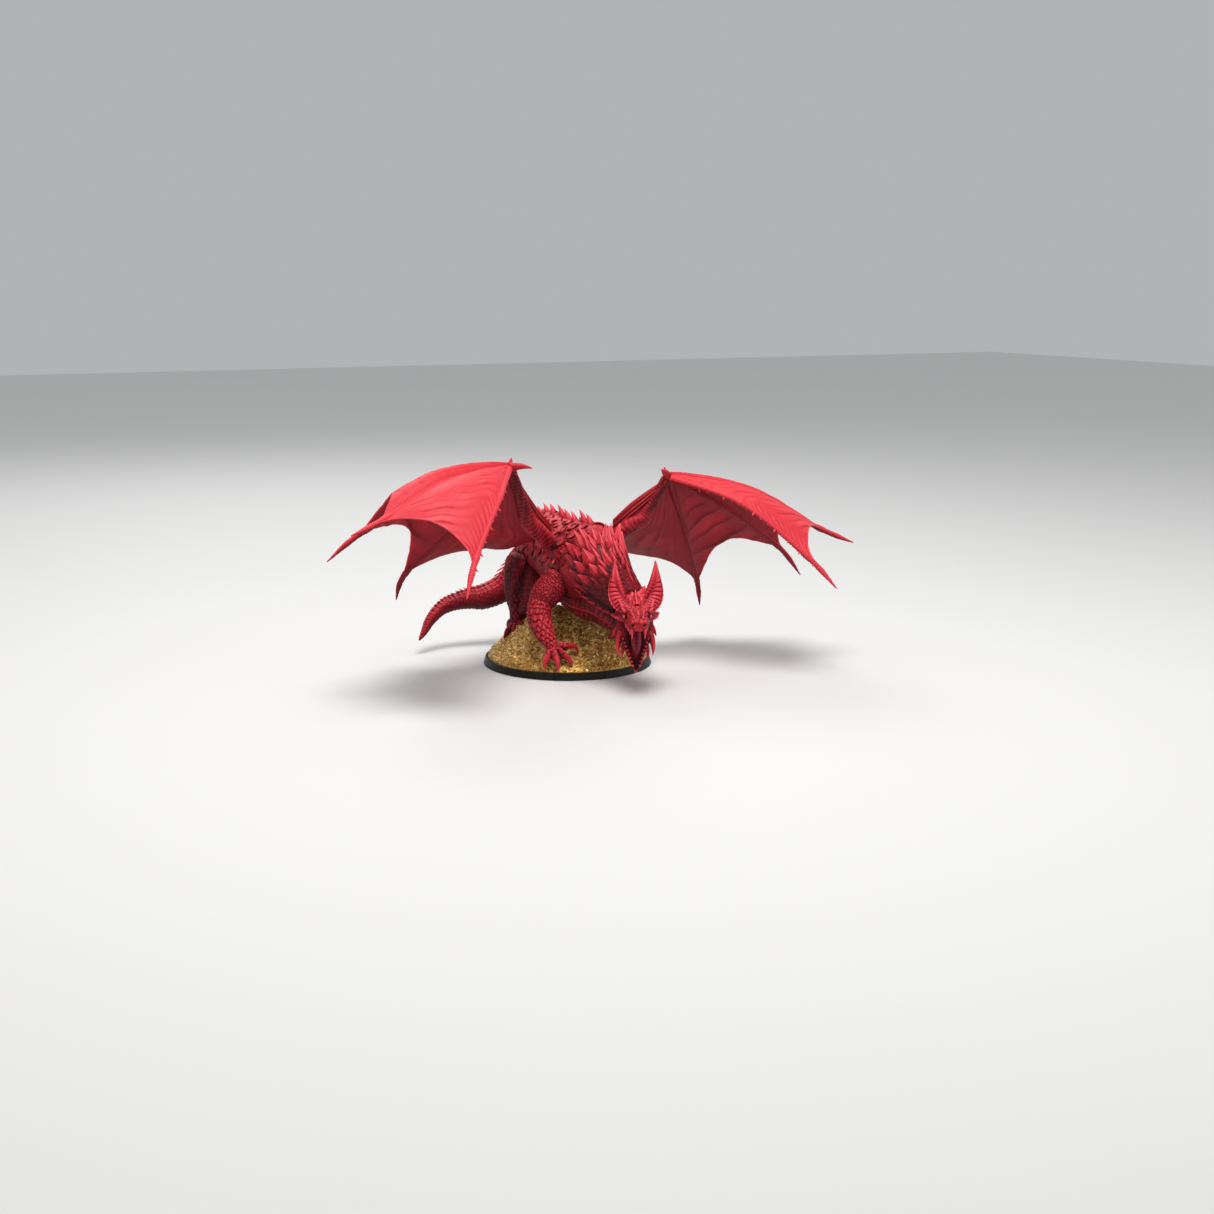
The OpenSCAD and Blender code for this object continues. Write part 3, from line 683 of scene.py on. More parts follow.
def arm_relief(s, a, r):
    upper = rings(s + 0.5 * np.sin(3 * a + 0.3 * s), 2.5, 0.42) * (1 - ease(s, 19, 24))
    fore = rings(s + 0.4 * np.sin(2 * a + 0.5 * s), 1.9, 0.34) * ease(s, 19, 24)
    seam = 0.25 * bell(np.sin(a), -1, 0.2)
    facing = 0.45 + 0.55 * np.clip(0.6 - np.sin(a), 0, 1)
    return (upper + fore) * facing - 0.3 + 0.1 * np.sin(5 * a + 0.6 * s) - seam


def add_wrist_hooks(sh, side):
    wrist, tip = wing_at(wing_wrist, side), wing_at(thumb_tip, side)
    claw(sh, wrist + unit(tip - wrist), tip, 2.7, bend=(0, 0, 1.1), sides=14, rows=16, tone=0.5, groove=0.06)
    claw(sh, wrist, wing_at(wing_wrist + [-1.5, 0.5, 5.6], side), 2.3, bend=mirror([-0.4, 0.8, 0], side),
         sides=12, rows=12, tone=0.5)
    claw(sh, wrist - [0, 0, 1.5], wing_at(wing_wrist + [-4.5, -3.5, -5], side), 1.5, bend=(0, 0.2, 0.5),
         tone=0.35)


def add_web(sh, side):
    """The web of skin from the shoulder to the wrist, in front of the elbow."""
    rows, cols = 90, 34
    t = np.linspace(0.02, 1, rows)[:, None]
    q = np.linspace(0, 1, cols)[None, :]
    T, Q = t[..., None], q[..., None]
    inner = wing_root * (1 - T) ** 2 + wing_elbow * 2 * T * (1 - T) + wing_wrist * T ** 2
    outer = wing_shoulder_top * (1 - T) + wing_wrist * T
    p = inner * (1 - Q) + outer * Q
    pleat = 0.34 * np.sin(2 * math.pi * (4.5 * q + 0.5 * t)) * np.sin(math.pi * q)
    pleat = pleat * np.sin(math.pi * t) ** 0.5
    sag = 1.3 * 4 * q * (1 - q) * np.sin(math.pi * t)
    p = p - arr(0, 1, 0) * (pleat + sag)[..., None]
    half_thick = arr(0, 0.55, 0)
    face, back = (wing_at(clear_of_torso(x, 0.45), side) for x in (p - half_thick, p + half_thick))
    # painted light and shade: the pleats' ridges are painted lighter and the folds between them darker, and
    # the back face darker than the front
    tone = 0.45 + 0.6 * pleat
    slab(sh, face, back, tone, tone * 0.7)


def wing_joint(side):
    """Where a wing's peg starts, its outward axis, and the direction of its key as the CAD turns it."""
    axis = mirror(pull, side)
    tilt, spin = math.degrees(math.acos(axis[2])), math.degrees(math.atan2(axis[1], axis[0]))
    return mirror(wing_root, side), axis, turn("Z", spin) @ turn("Y", tilt) @ arr(0, 1, 0)


def add_peg(sh, side):
    """The round peg that goes into the shoulder, with the key that stops it from turning."""
    root, axis, key = wing_joint(side)
    ends = ((-peg_l, peg_r - 0.5), (0.6 - peg_l, peg_r), (4, peg_r))
    tube(sh, [[*(root + axis * at), r] for at, r in ends], sides=48, top=(0, 1, 0), tone=0.4, curve=False)
    block(sh, root - axis * (peg_l / 2 - 2) + key * (peg_r + 1.2) / 2, [np.cross(axis, key), key, axis],
          [1.8, peg_r + 1.2, peg_l + 4], tone=0.4)


def make_arm(side):
    sh = Shape()
    r, e, w = wing_root, wing_elbow, wing_wrist
    knots = [(r + 1.6 * pull, 4.6), (r + 4.5 * pull, 5.3), ((r + e) / 2 + [1, -1, 1], 4.8), (e, 5.1),
             (e * 0.75 + w * 0.25, 4.0), (e * 0.4 + w * 0.6, 3.3), (w, 3.2)]
    line = [[*wing_at(p, side), radius] for p, radius in knots]
    # the raised rings are painted lighter and the grooves darker, as painted highlight and shade; the forearm
    # gets darker towards the wrist
    tube(sh, line, sides=64, step=0.26, top=(0, 1, 0.3), relief=arm_relief, ends=(1.2, 2.5),
         tone=lambda s, a, x: 0.56 + 0.36 * x - 0.16 * ease(s, 20, 34))
    p = spline(line, 6)
    d, across, up = frames(p, (0, 1, 0.3))
    for i, deg in product(range(4, len(p) - 3, 2), (60, 90, 120)):
        out = math.cos(math.radians(deg)) * across[i] + math.sin(math.radians(deg)) * up[i]
        plate(sh, p[i, :3] + out * (p[i, 3] - 0.45), out, d[i], 4.2, 3.0, lift=0.1, keel=0.3, thick=0.5,
              tone=0.42, nu=7, nv=7, droop=0.12)
    elbow = wing_at(e, side)
    for k, deg in enumerate((200, 240, 280)):
        out = unit([side * 0.5 * math.cos(math.radians(deg)), 0.9, -0.5 + 0.3 * k])
        claw(sh, elbow + out * 3.5, elbow + out * (8.2 - k), 1.5, bend=(0, 0, 0.5), tone=0.55)
    add_wrist_hooks(sh, side)
    add_web(sh, side)
    add_peg(sh, side)
    return sh


def clear_of_torso(p, gap):
    """Points of the left side pushed out of the torso's oval, by at least gap."""
    p = np.array(p, float)
    y = np.clip(p[..., 1], -50, 50)
    zc, hw, hh = (np.interp(y, torso_line[:, 0], torso_line[:, k]) + (gap if k > 1 else 0) for k in (1, 2, 3))
    x, z = p[..., 0] / hw, (p[..., 2] - zc) / hh
    reach = np.sqrt(x * x + z * z)
    inside = (reach < 1) & (np.abs(p[..., 1]) < 50)
    f = np.where(inside, 1 / np.maximum(reach, 1e-3), 1)
    p[..., 0] = x * f * hw
    p[..., 2] = zc + z * f * hh
    return p


# ---- torso, neck and tail ----

def torso_skin():
    """The torso's scaled surface, with the two wing sockets cut into it."""
    y = np.linspace(50, -50, 190)
    cols = 220
    Y, A = np.meshgrid(y, np.arange(cols) * 2 * math.pi / cols, indexing="ij")
    belly = bell(A, 1.5 * math.pi, 0.62)
    relief = scales(60 - Y, A * 20, 2.9, 125.66 / 30, 0.6) * (1 - belly) + belly * rings(60 - Y, 5.2, 1.0)
    relief += 0.5 * np.sin((Y + 6 * np.cos(A)) * 2 * math.pi / 13) * bell(Y, 2, 22) * np.abs(np.cos(A)) ** 3
    relief *= ease(50 - np.abs(Y), 0, 4)
    p = torso_at(Y, A) + torso_normal(Y, A) * (relief - 0.35)[..., None]
    body = Shape()
    body.add(np.vstack([p.reshape(-1, 3), [0, 50, 60], [0, -50, 62]]), *tube_faces(len(y), cols))
    v, quads, tris = cut(body, [*socket_cutters(RIGHT), *socket_cutters(LEFT)])
    # random tone from cell to cell, and the belly painted darker as painted shade under the body
    angle = np.arctan2((v[:, 2] - 64) / 21, v[:, 0] / 20)
    ident = cells(v, 3.0, 5)[1]
    return v, quads, tris, 0.5 + 0.10 * (ident - 0.5) - 0.18 * bell(angle, -math.pi / 2, 0.9)


def socket_cutters(side):
    """The hole for a wing's peg and the slot for its key, each a little larger than what goes in."""
    root, axis, key = wing_joint(side)
    r = peg_r + peg_gap + 0.1
    hole, keyway = Shape(), Shape()
    tube(hole, [[*(root - axis * (peg_l + 0.6)), r], [*(root + axis * 9), r]], sides=48, step=8,
         top=(0, 1, 0), curve=False)
    block(keyway, root + axis * 0.5 + key * (peg_r + 1.4) / 2, [np.cross(axis, key), key, axis],
          [2.2, peg_r + 1.4, 2 * peg_l + 1.8])
    return hole, keyway


def add_back_plates(sh, clear):
    """Blades over the back and broad shields over the flanks, each kept clear of the wings."""
    roots = np.array([mirror(wing_root, s) for s in (RIGHT, LEFT)])
    back = arr(0, 1, 0)
    for row, yy in enumerate(np.arange(45, -47, -6.0)):
        front = ease(-yy, -12, 26)
        for k in range(-5, 6):
            deg = 90 + (k + 0.5 * (row % 2)) * (19 - 1.5 * front) + rng.uniform(-3, 3)
            off = abs(deg - 90)
            if off > 88 or off < 5 or (yy < -36 and off > 55):
                continue
            a = math.radians(deg)
            y1 = yy + rng.uniform(-1.3, 1.3)
            base, nrm = torso_at(y1, a, -0.4), torso_normal(y1, a)
            if np.linalg.norm(base - roots, axis=1).min() < 9.2:
                continue
            ridge = bell(off, 0, 36)
            big = rng.uniform(0.85, 1.2)
            rear = ease(yy, 25, 45)
            length = (9.5 + 3.5 * front + 1.5 * ridge) * big * (1 - 0.3 * rear)
            width = (8.6 - 2.6 * ridge * (0.35 + 0.65 * front)) * (0.9 + 0.2 * big - 0.25 * rear)
            lift = 0.14 + (0.16 + 0.42 * front) * ridge * rng.uniform(0.7, 1.25)
            for _ in range(3):
                tip = base + length * (back + lift * nrm)
                mid = base + 0.6 * length * (back + 0.6 * lift * nrm)
                if min(clear.find(tip)[2], clear.find(mid)[2]) > 1.9:
                    break
                lift, length = lift * 0.35, length * 0.8
            else:
                continue
            yaw = rng.uniform(-0.18, 0.18) + 0.12 * math.cos(a)
            # the plates lower down the flanks are painted darker, as painted shade
            plate(sh, base, nrm, arr(yaw, 1, 0), length, width, lift=lift, keel=0.7 + 0.6 * ridge, thick=1.0,
                  point=1.25 + 0.5 * (1 - ridge), curl=0.1 * ridge, tone=0.65 - 0.1 * ease(off, 50, 88),
                  droop=0.1, ribs=3, nu=12, nv=13)


def add_shoulder_plates(sh, clear):
    """Large smooth plates over each shoulder blade: y, degrees off the spine, length, width, lift."""
    rows = ((-33, 20, 12, 7.5, 0.3), (-33, 40, 13, 8.5, 0.3), (-36, 58, 13, 9, 0.2), (-26, 28, 13, 8.5, 0.38),
            (-20, 38, 11, 7, 0.34), (-15, 20, 11, 7.5, 0.34))
    for side, (y, off, length, width, lift) in product((RIGHT, LEFT), rows):
        a = math.radians(90 - side * (off + rng.uniform(-2, 2)))
        base, nrm = torso_at(y, a, 0.1), torso_normal(y, a)
        while lift > 0.03 and clear.find(base + length * (arr(0, 1, 0) + lift * nrm))[2] < 2.4:
            lift, length = lift * 0.6, length * 0.88
        plate(sh, base, nrm, arr(-0.22 * side, 1, 0), length, width, lift=lift, keel=0.9, thick=1.2,
              point=1.15, curl=0.1, tone=0.66, droop=0.12, nu=15, nv=13)


def add_spines(sh):
    """Uneven spines along the middle of the back, each with a small one behind it."""
    for k in range(9):
        y = 43 - 9 * k + (2.2, -1.5, 0.6)[k % 3]
        height = (5.6, 8.0, 6.4)[k % 3] - 1.5 * ease(y, 20, 40)
        foot = torso_at(y, math.pi / 2, -1.4)
        claw(sh, foot, foot + [(0.8, -0.6, 0.2)[k % 3], 6.0, height], 2.4, bend=(0, -1.0, 0.3), sides=14,
             rows=14, tone=0.56, power=0.9, groove=0.09)
        claw(sh, foot + [0, 3.5, -0.4], foot + [0, 7.6, height * 0.45], 1.6, bend=(0, -0.5, 0.2), rows=9,
             tone=0.56)


def add_socket_collar(sh, side):
    """A ring of scales round a wing socket, left open under the wing."""
    root, axis, key = wing_joint(side)
    across = np.cross(axis, key)
    for k in range(11):
        a = 2 * math.pi * (k + 0.5) / 11
        out = math.cos(a) * across + math.sin(a) * key
        base = root + out * 6.6 - axis * 3.2
        if math.atan2(base[2] - 64, base[0] * side) < math.radians(-10):
            continue
        plate(sh, base, -axis * 0.2 - out * 0.4 + axis, out, 6.2, 5.0, lift=-0.16, keel=0.5, thick=0.8,
              tone=0.5, droop=0.1)


def make_torso(clear):
    sh = Shape()
    sh.add(*torso_skin())
    add_back_plates(sh, clear)
    add_shoulder_plates(sh, clear)
    add_spines(sh)
    for side in (RIGHT, LEFT):
        add_socket_collar(sh, side)
    return sh


def off_by(a, deg):
    """Degrees between the angle a, in radians, and an angle in degrees."""
    return np.degrees(np.abs(wrapped(a - math.radians(deg))))


def neck_relief(s, a, r):
    throat = bell(off_by(a, 270), 0, 42)
    folds = bell(off_by(a, 222), 0, 6) + bell(off_by(a, 318), 0, 6)
    gully = bell(off_by(a, 210), 0, 7) + bell(off_by(a, 330), 0, 7)
    skin = scales(60 - s, a * r, 3.2, 4.2, 0.8) * (1 - throat) + throat * rings(60 - s, 4.6, 1.2)
    return skin - 0.4 + 1.3 * folds * (0.7 + 0.3 * np.sin(s * 1.5)) - 0.9 * gully


def dewlap_relief(s, a, r):
    return rings(60 - s + 1.2 * np.cos(2 * a), 3.4, 0.9) - 0.4 + 0.25 * np.sin(5 * a + 0.3 * s)


def add_dewlap(sh):
    """A loose fold of skin from the chest to the jaw, with small plates over it."""
    # the fold and its plates are painted dark as painted shade under the neck, with its raised rings lighter
    # as painted highlight
    tube(sh, dewlap, sides=90, step=0.4, ends=(5, 4), flat=1.15, relief=dewlap_relief,
         tone=lambda s, a, x: 0.3 + 0.2 * x)
    fold = Limb(spline(dewlap), 0.5)
    for at, deg in product(np.arange(2, fold.s[-1] - 4, 3.6), (200, 228, 256, 284, 312, 340)):
        i = int(at / 0.5)
        out = fold.out(i, deg)
        plate(sh, fold.p[i, :3] + out * (fold.p[i, 3] * 1.05 - 0.5), out, -fold.d[i], 6.4, 4.4, lift=0.16,
              tone=0.36, keel=0.7, thick=0.8, point=1.3, droop=0.1)


def crest_points():
    """Points on the horns and the rims of the brow crests, which the neck's plates keep clear of."""
    points = []
    for side in (RIGHT, LEFT):
        points.append(mirror(spline(horn_line, 4)[:, :3], side))
        points.append(mirror(spline(frill_rim, 3), side))
    return at_head(np.vstack(points))


def make_neck():
    sh = Shape()
    # the raised scales are painted lighter and the throat darker, as painted highlight and painted shade
    # under the neck
    tube(sh, neck_line, sides=170, step=0.4, relief=neck_relief, ends=(0, 3),
         tone=lambda s, a, x: 0.26 + 0.2 * x - 0.12 * bell(off_by(a, 270), 0, 70))
    neck = Limb(spline(neck_line), 0.5)
    whole = neck.s[-1]
    crests = crest_points()

    def free(tip, gap):
        return np.linalg.norm(crests - tip, axis=1).min() > gap

    def add_plate(at, deg, length, width, lift, yaw, **look):
        i = min(int(round(at / 0.5)), len(neck.p) - 2)
        nrm = neck.out(i, deg)
        base = neck.skin(i, nrm, 0.5)
        if not free(base, 2.2 + at / whole):
            return
        while lift > 0.04 and not free(base - neck.d[i] * length * 0.9 + nrm * lift * length, 2.9):
            lift *= 0.6
            length *= 0.9
        # the first rows lie back over the shoulders
        flat = unit(nrm + arr(0, 0.12 * (1 - ease(at, 3, 16)), 0))
        plate(sh, base, flat, neck.side[i] * yaw - neck.d[i], length, width, lift=lift, **look)

    add_dewlap(sh)
    # broad grooved shields down the sides
    for row, at in enumerate((0.5, 5.5, 10.5, 15.5, 20.5, 25.5, 30)):
        near = at / whole
        for k in range(-5, 6):
            deg = 90 + (k + 0.5 * (row % 2)) * (25 + 4 * near) + rng.uniform(-3, 3)
            off = abs(deg - 90)
            if 40 < off < 124:
                size = (1.0 - 0.4 * near) * rng.uniform(0.88, 1.14)
                lift = (0.12 + 0.12 * rng.random()) * (1 - 0.4 * near)
                # shields lower down the sides are painted darker, as painted shade
                add_plate(at, deg, 14.0 * size, 10.5 * size, lift, rng.uniform(-0.14, 0.14), keel=0.9,
                          thick=1.1, tone=0.55 - 0.22 * ease(off, 78, 118), point=1.25, curl=0.05, droop=0.09,
                          ribs=4, nu=13, nv=15)
    # a mane of narrow blades along the crown
    for row, at in enumerate(np.arange(0, 31, 4.9)):
        near = at / whole
        for k in range(-3, 4):
            deg = 90 + (k + 0.5 * (row % 2)) * 17 + rng.uniform(-4, 4)
            size = (1.0 - 0.35 * near) * rng.uniform(0.85, 1.2)
            lift = rng.uniform(0.12, 0.36) * (1 - 0.4 * near)
            add_plate(at, deg, 13.0 * size, 6.8 * size, lift, rng.uniform(-0.22, 0.22), keel=1.3, thick=1.1,
                      tone=0.61, point=1.2, curl=0.08, droop=0.1, ribs=2, nu=12, nv=11)
    for k, at in enumerate((3, 9, 15, 21, 27)):
        i = min(int(at / 0.5), len(neck.p) - 3)
        base = neck.skin(i, neck.up[i], 1.5)
        height = (6.4, 5.2, 6.0)[k % 3] - 0.5 * k
        claw(sh, base, base + neck.up[i] * height - neck.d[i] * 5.0, 2.0 - 0.15 * k, bend=neck.d[i] * 0.9,
             sides=14, rows=13, tone=0.58, power=0.9, groove=0.08)
    # thorns along the folds under the neck, painted darker as painted shade
    for deg, at in product((222, 318), np.arange(3, whole - 5, 4.2)):
        i = int(at / 0.5)
        out = neck.out(i, deg)
        base = neck.skin(i, out)
        claw(sh, base, base + out * 2.6 - neck.d[i] * 4.2, 1.35, bend=neck.d[i] * 0.3, sides=9, rows=8,
             tone=0.4)
    return sh


def make_tail(first, last, sides):
    """The tail's casting between two points of tail_line."""
    sh = Shape()
    full = spline(tail_line)
    start = max(first * 12 - 3, 0)         # the tip's casting starts inside the root's
    before = length_along(full)[start]

    def relief(s, a, r):
        x = s + before
        top = bell(a, math.pi / 2, 0.75)
        under = bell(a, 1.5 * math.pi, 0.8)
        flank = scales(x, a * r, 2.2, 2.9, 0.5) * (1 - top) * (1 - under)
        height = flank + top * rings(x, 3.1, 0.8) + under * rings(x, 2.6, 0.6) - 0.25
        return height * np.clip(r / 5, 0.25, 1)

    line = full[start:last * 12 + 1]
    line[:first * 12 - start, 3] -= 0.15
    # the raised scales are painted lighter and the top a little lighter than the underside, as painted light
    tube(sh, line, sides=sides, step=0.36, relief=relief, curve=False,
         tone=lambda s, a, x: 0.31 + 0.40 * x + 0.05 * np.sin(a))
    tail = Limb(line, 0.8)
    at = 1.5
    while at < tail.s[-1] - 3:
        i = int(np.searchsorted(tail.s, at))
        size = np.clip(tail.p[i, 3] / 9, 0.32, 1.1)
        # the top shields are painted lighter than those down the sides, as painted light from above
        tail.shield(sh, i, 90, 0.3, 6.6 * size, 5.4 * size, lift=0.34, tone=0.48, keel=0.8 * size,
                    thick=0.7 * size + 0.1, point=1.3)
        for deg, k in ((62, 0.8), (118, 0.8), (38, 0.62), (142, 0.62)):
            tail.shield(sh, i, deg, 0.25, 6 * size * k, 5 * size * k, lift=0.18, tone=0.42, keel=0.5 * size,
                        thick=0.6 * size + 0.1)
        at += 3.4 * size + 0.6
    return sh


# ---- head ----

def dented(v, nrm, bumps):
    """Bumps and dents: [centre, (sx, sy, sz), height] pushed along the surface normal."""
    for c, size, h in bumps:
        d = (v - np.asarray(c, float)) / np.asarray(size, float)
        v = v + nrm * (h * np.exp(-(d * d).sum(-1)))[:, None]
    return v


def section(sections, y, k):
    """Half width (k = 2) or half height (k = 3) at y, on straight lines between the sections."""
    table = np.array(sections)
    return np.interp(-y, -table[:, 0], table[:, k])


def oval_skin(sections, cols, power=1.0):
    """A closed skin over oval sections, in steps of 0.3 mm."""
    s = spline(sections)
    dist = np.r_[0, np.cumsum(np.hypot(np.diff(s[:, 0]), np.diff(s[:, 2]) * 0.5))]
    t = np.linspace(0, dist[-1], int(dist[-1] / 0.3) + 1)
    y, zc, hw, hh = (np.interp(t, dist, s[:, k])[:, None] for k in range(4))
    a = np.arange(cols)[None, :] * 2 * math.pi / cols
    z = zc + hh * np.sign(np.sin(a)) * np.abs(np.sin(a)) ** power
    v = np.stack(np.broadcast_arrays(hw * np.cos(a), y, z), -1)
    quads, tris = tube_faces(len(t), cols)
    v = np.vstack([v.reshape(-1, 3), v[0].mean(axis=0), v[-1].mean(axis=0)])
    if volume(v - v.mean(axis=0), quads) < 0:
        quads, tris = quads[:, ::-1], tris[:, ::-1]
    return v, quads, tris


def skull_skin():
    v, quads, tris = oval_skin(skull_sections, 150)
    nrm = normals(v, quads, tris)
    bumps = []
    for s in (RIGHT, LEFT):
        bumps += [
            ([s * 6.3, -16.5, 5.2], (2.4, 4.6, 2.0), 2.3),        # brow
            ([s * 7.6, -18.2, 1.8], (1.7, 2.2, 1.5), -2.2),       # eye socket
            ([s * 8.2, -13.5, -1.0], (2.6, 5.0, 1.6), 1.4),       # cheekbone
            ([s * 5.6, -23, -1.6], (1.5, 6.0, 1.0), 0.8),         # lip
            ([s * 3.0, -29.2, 2.2], (1.2, 1.5, 1.2), 1.2),        # nostril rim
            ([s * 3.4, -30.4, 1.4], (0.7, 0.8, 0.7), -1.6),       # nostril
            ([s * 3.0, -22, 4.6], (1.0, 5.5, 1.4), 0.7),          # ridge along the snout
            ([s * 5.2, -20.5, 2.2], (1.0, 2.6, 1.0), -0.8)]       # hollow below it
    bumps += [([0, -24, 4.8], (1.1, 7, 1.6), 0.7), ([0, -14, 7.2], (2.4, 3, 2), -0.9)]
    v = dented(v, nrm, bumps)
    border, ident = cells(v * [1, 0.8, 1], 2.3, 3)
    pebble = np.clip(border, 0, 0.3) / 0.3
    snout = ease(-v[:, 1], 2, 10)
    v = v + nrm * ((pebble ** 0.6 - 0.5) * 0.45 * snout * (1 - 0.6 * bell(v[:, 2], -3, 3)))[:, None]
    wrinkles = 0.22 * np.sin(v[:, 1] * 2.4 + np.abs(v[:, 0]) * 0.7) * bell(v[:, 1], -24, 5)
    v = v + nrm * (wrinkles * ease(v[:, 2], 1, 3))[:, None]
    # the palate, inside the open mouth, is painted darker as painted shade; the raised pebbles are painted
    # lighter as painted highlight, with random tone from cell to cell
    palate = ease(-v[:, 2], 2.4, 4.0)
    return at_head(v), quads, tris, 0.5 + 0.12 * (pebble - 0.6) + 0.08 * (ident - 0.5) - 0.4 * palate


def hp(*p):
    """A point of the skull's own frame."""
    return at_head(arr(*p))


def hv(*p):
    """A direction of the skull's own frame."""
    return HEAD @ arr(*p)


def jp(*p):
    """A point of the jaw's own frame."""
    return at_jaw(arr(*p))


def jv(*p):
    """A direction of the jaw's own frame."""
    return HEAD @ JAW @ arr(*p)


def add_face(sh, s):
    """One side of the face: eye, thorns, cheek spines, lip scutes and upper teeth."""
    tube(sh, [[*hp(s * 6.4, -18.3, 1.9), 1.25], [*hp(s * 8.0, -18.5, 1.7), 1.25]], sides=20, step=0.15,
         ends=(0.8, 0.8), top=hv(0, 0, 1), curve=False, tone=0.95)
    # brow thorns, swept back: x, y, z, length, radius
    for x, y, z, ln, r in ((6.6, -19, 4.4, 3.0, 1.2), (7.2, -16, 5.2, 4.2, 1.5), (7.8, -12.5, 6.0, 4.0, 1.4)):
        claw(sh, hp(s * x, y, z), hp(s * (x + 1.8), y + ln * 0.8, z + ln * 0.62), r,
             bend=hv(s * 0.5, -0.4, 0.6))
    for k in range(4):      # small thorns along the snout
        claw(sh, hp(s * (2.3 + 0.35 * k), -28.5 + 2.7 * k, 3.7 + 0.35 * k),
             hp(s * (2.7 + 0.45 * k), -26.4 + 2.7 * k, 5.3 + 0.3 * k), 0.8, bend=hv(0, -0.3, 0.3), sides=8,
             rows=7, tone=0.46)
    for k in range(4):      # cheek spines, pointing back
        y, z = -14 + 4.2 * k, -1.2 - 0.9 * k
        claw(sh, hp(s * (8.4 + 0.45 * k), y, z), hp(s * (12.2 + 0.7 * k), y + 6.2, z - 1.6), 1.5,
             bend=hv(s * 0.9, 0, 0.4), tone=0.58)
    for k in range(9):
        y = -27 + 2.9 * k
        lip = hp(s * (section(skull_sections, y, 2) - 0.5), y, -1.8)
        plate(sh, lip, hv(s, 0, -0.1), hv(0, 1, 0.15), 3.8, 3.0, lift=0.18, keel=0.4, thick=0.5, tone=0.56,
              nu=7, nv=7)
    for k, ln in enumerate((5.6, 3.4, 4.8, 3.0, 4.4, 2.8, 3.8, 2.6)):
        x, y = 3.3 + 0.42 * k, -29.3 + 2.1 * k
        claw(sh, hp(s * x, y, -1.4), hp(s * (x + 0.2), y - 0.5, -1.8 - ln), 0.85, bend=hv(s * 0.15, -0.35, 0),
             sides=9, rows=8, tone=0.62)


def make_skull():
    sh = Shape()
    sh.add(*skull_skin())
    for s in (RIGHT, LEFT):
        add_face(sh, s)
    # plates over the top of the head, swept back
    for row, k in product(range(7), range(-3, 4)):
        y = -18 + 3.6 * row
        hw, hh = section(skull_sections, y, 2), section(skull_sections, y, 3)
        a = math.radians(90 + (k + 0.5 * (row % 2)) * 17)
        x, z = hw * math.cos(a) * 0.97, hh * math.sin(a) * 0.97
        plate(sh, hp(x, y, 0.6 + z), HEAD @ unit(arr(math.cos(a) / hw, 0, math.sin(a) / hh)),
              hv(0.1 * math.cos(a), 1, 0), 4.6 + 0.5 * row, 3.6 + 0.25 * row, lift=0.2 + 0.16 * (row > 2),
              tone=0.62, nu=8, nv=7)
    # a ruff over the back of the cheeks
    for (row, y), k in product(enumerate((-1.5, 2.5)), range(11)):
        a = math.radians(-50 + 28 * (k + 0.5 * row))
        x, z = math.cos(a), math.sin(a)
        size = rng.uniform(0.85, 1.15)
        plate(sh, hp(8.6 * x, y, 7.0 * z), HEAD @ unit(arr(x / 9, 0, z / 7.6)), hv(0.25 * x, 1, 0.2 * z),
              8.5 * size, 6.0 * size, lift=0.16, keel=0.7, thick=0.8, tone=0.5, point=1.2, droop=0.08)
    claw(sh, hp(0, -26, 4.2), hp(0, -22.5, 7.0), 1.3, bend=hv(0, -0.7, 0.3), tone=0.48)
    for k in range(4):
        claw(sh, hp(0, -14 + 4.5 * k, 6.6 + 0.5 * k), hp(0, -8.4 + 4.6 * k, 8.8 + 0.9 * k), 1.2,
             bend=hv(0, -0.8, 0.2), tone=0.54)
    return sh


def jaw_skin():
    v, quads, tris = oval_skin(jaw_sections, 120, 0.8)
    nrm = normals(v, quads, tris)
    trough = bell(v[:, 0], 0, 3.4) * ease(v[:, 2], -1.0, 1.5) * bell(v[:, 1], -12, 13)
    v = v - arr(0, 0, 1.5) * trough[:, None]
    pebble = np.clip(cells(v, 2.1, 8)[0], 0, 0.3) / 0.3
    v = v + nrm * ((pebble ** 0.6 - 0.5) * 0.4 * ease(-v[:, 2], -0.6, 0.8))[:, None]
    # the inside of the mouth is painted darker as painted shade, and the raised pebbles lighter as painted
    # highlight
    inside = ease(v[:, 2] + 0.12 * np.abs(v[:, 0]), 0.3, 1.2) * bell(v[:, 0], 0, 6.5)
    return at_jaw(v), quads, tris, 0.44 + 0.1 * (pebble - 0.6) - 0.42 * inside


def add_jaw_side(sh, s):
    """One side of the jaw: cheek tusks, lower teeth and lip scutes."""
    claw(sh, jp(s * 7.6, -7, -0.9), jp(s * 9.4, -21, -0.4), 2.4, bend=jv(s * 1.3, 0, -0.8), sides=14, rows=16,
         tone=0.52, groove=0.05)
    claw(sh, jp(s * 5.4, -13, -1.6), jp(s * 7.4, -21.5, -4.4), 1.7, bend=jv(s * 0.6, 0, -0.8), sides=12,
         rows=12, tone=0.52)
    claw(sh, jp(s * 8.6, -3, -1.2), jp(s * 12, -9, -4.2), 1.7, bend=jv(s * 0.6, 0, -0.5), sides=12, rows=12)
    for k, ln in enumerate((3.0, 4.8, 3.0, 4.2, 2.7, 3.8, 2.5, 3.0)):
        x, y = 1.7 + 0.72 * k, -26.6 + 2.2 * k
        claw(sh, jp(s * x, y, 0.5), jp(s * (x + 0.2), y - 0.5, 0.9 + ln), 0.85, bend=jv(s * 0.15, -0.35, 0),
             sides=9, rows=8, tone=0.62)
    for k in range(8):
        y = -24 + 2.9 * k
        lip = jp(s * (section(jaw_sections, y, 2) - 0.6), y, -0.8)
        plate(sh, lip, jv(s, 0, -0.35), jv(0, 1, 0.05), 3.9, 2.9, lift=0.16, keel=0.4, thick=0.5, tone=0.52,
              nu=7, nv=7)


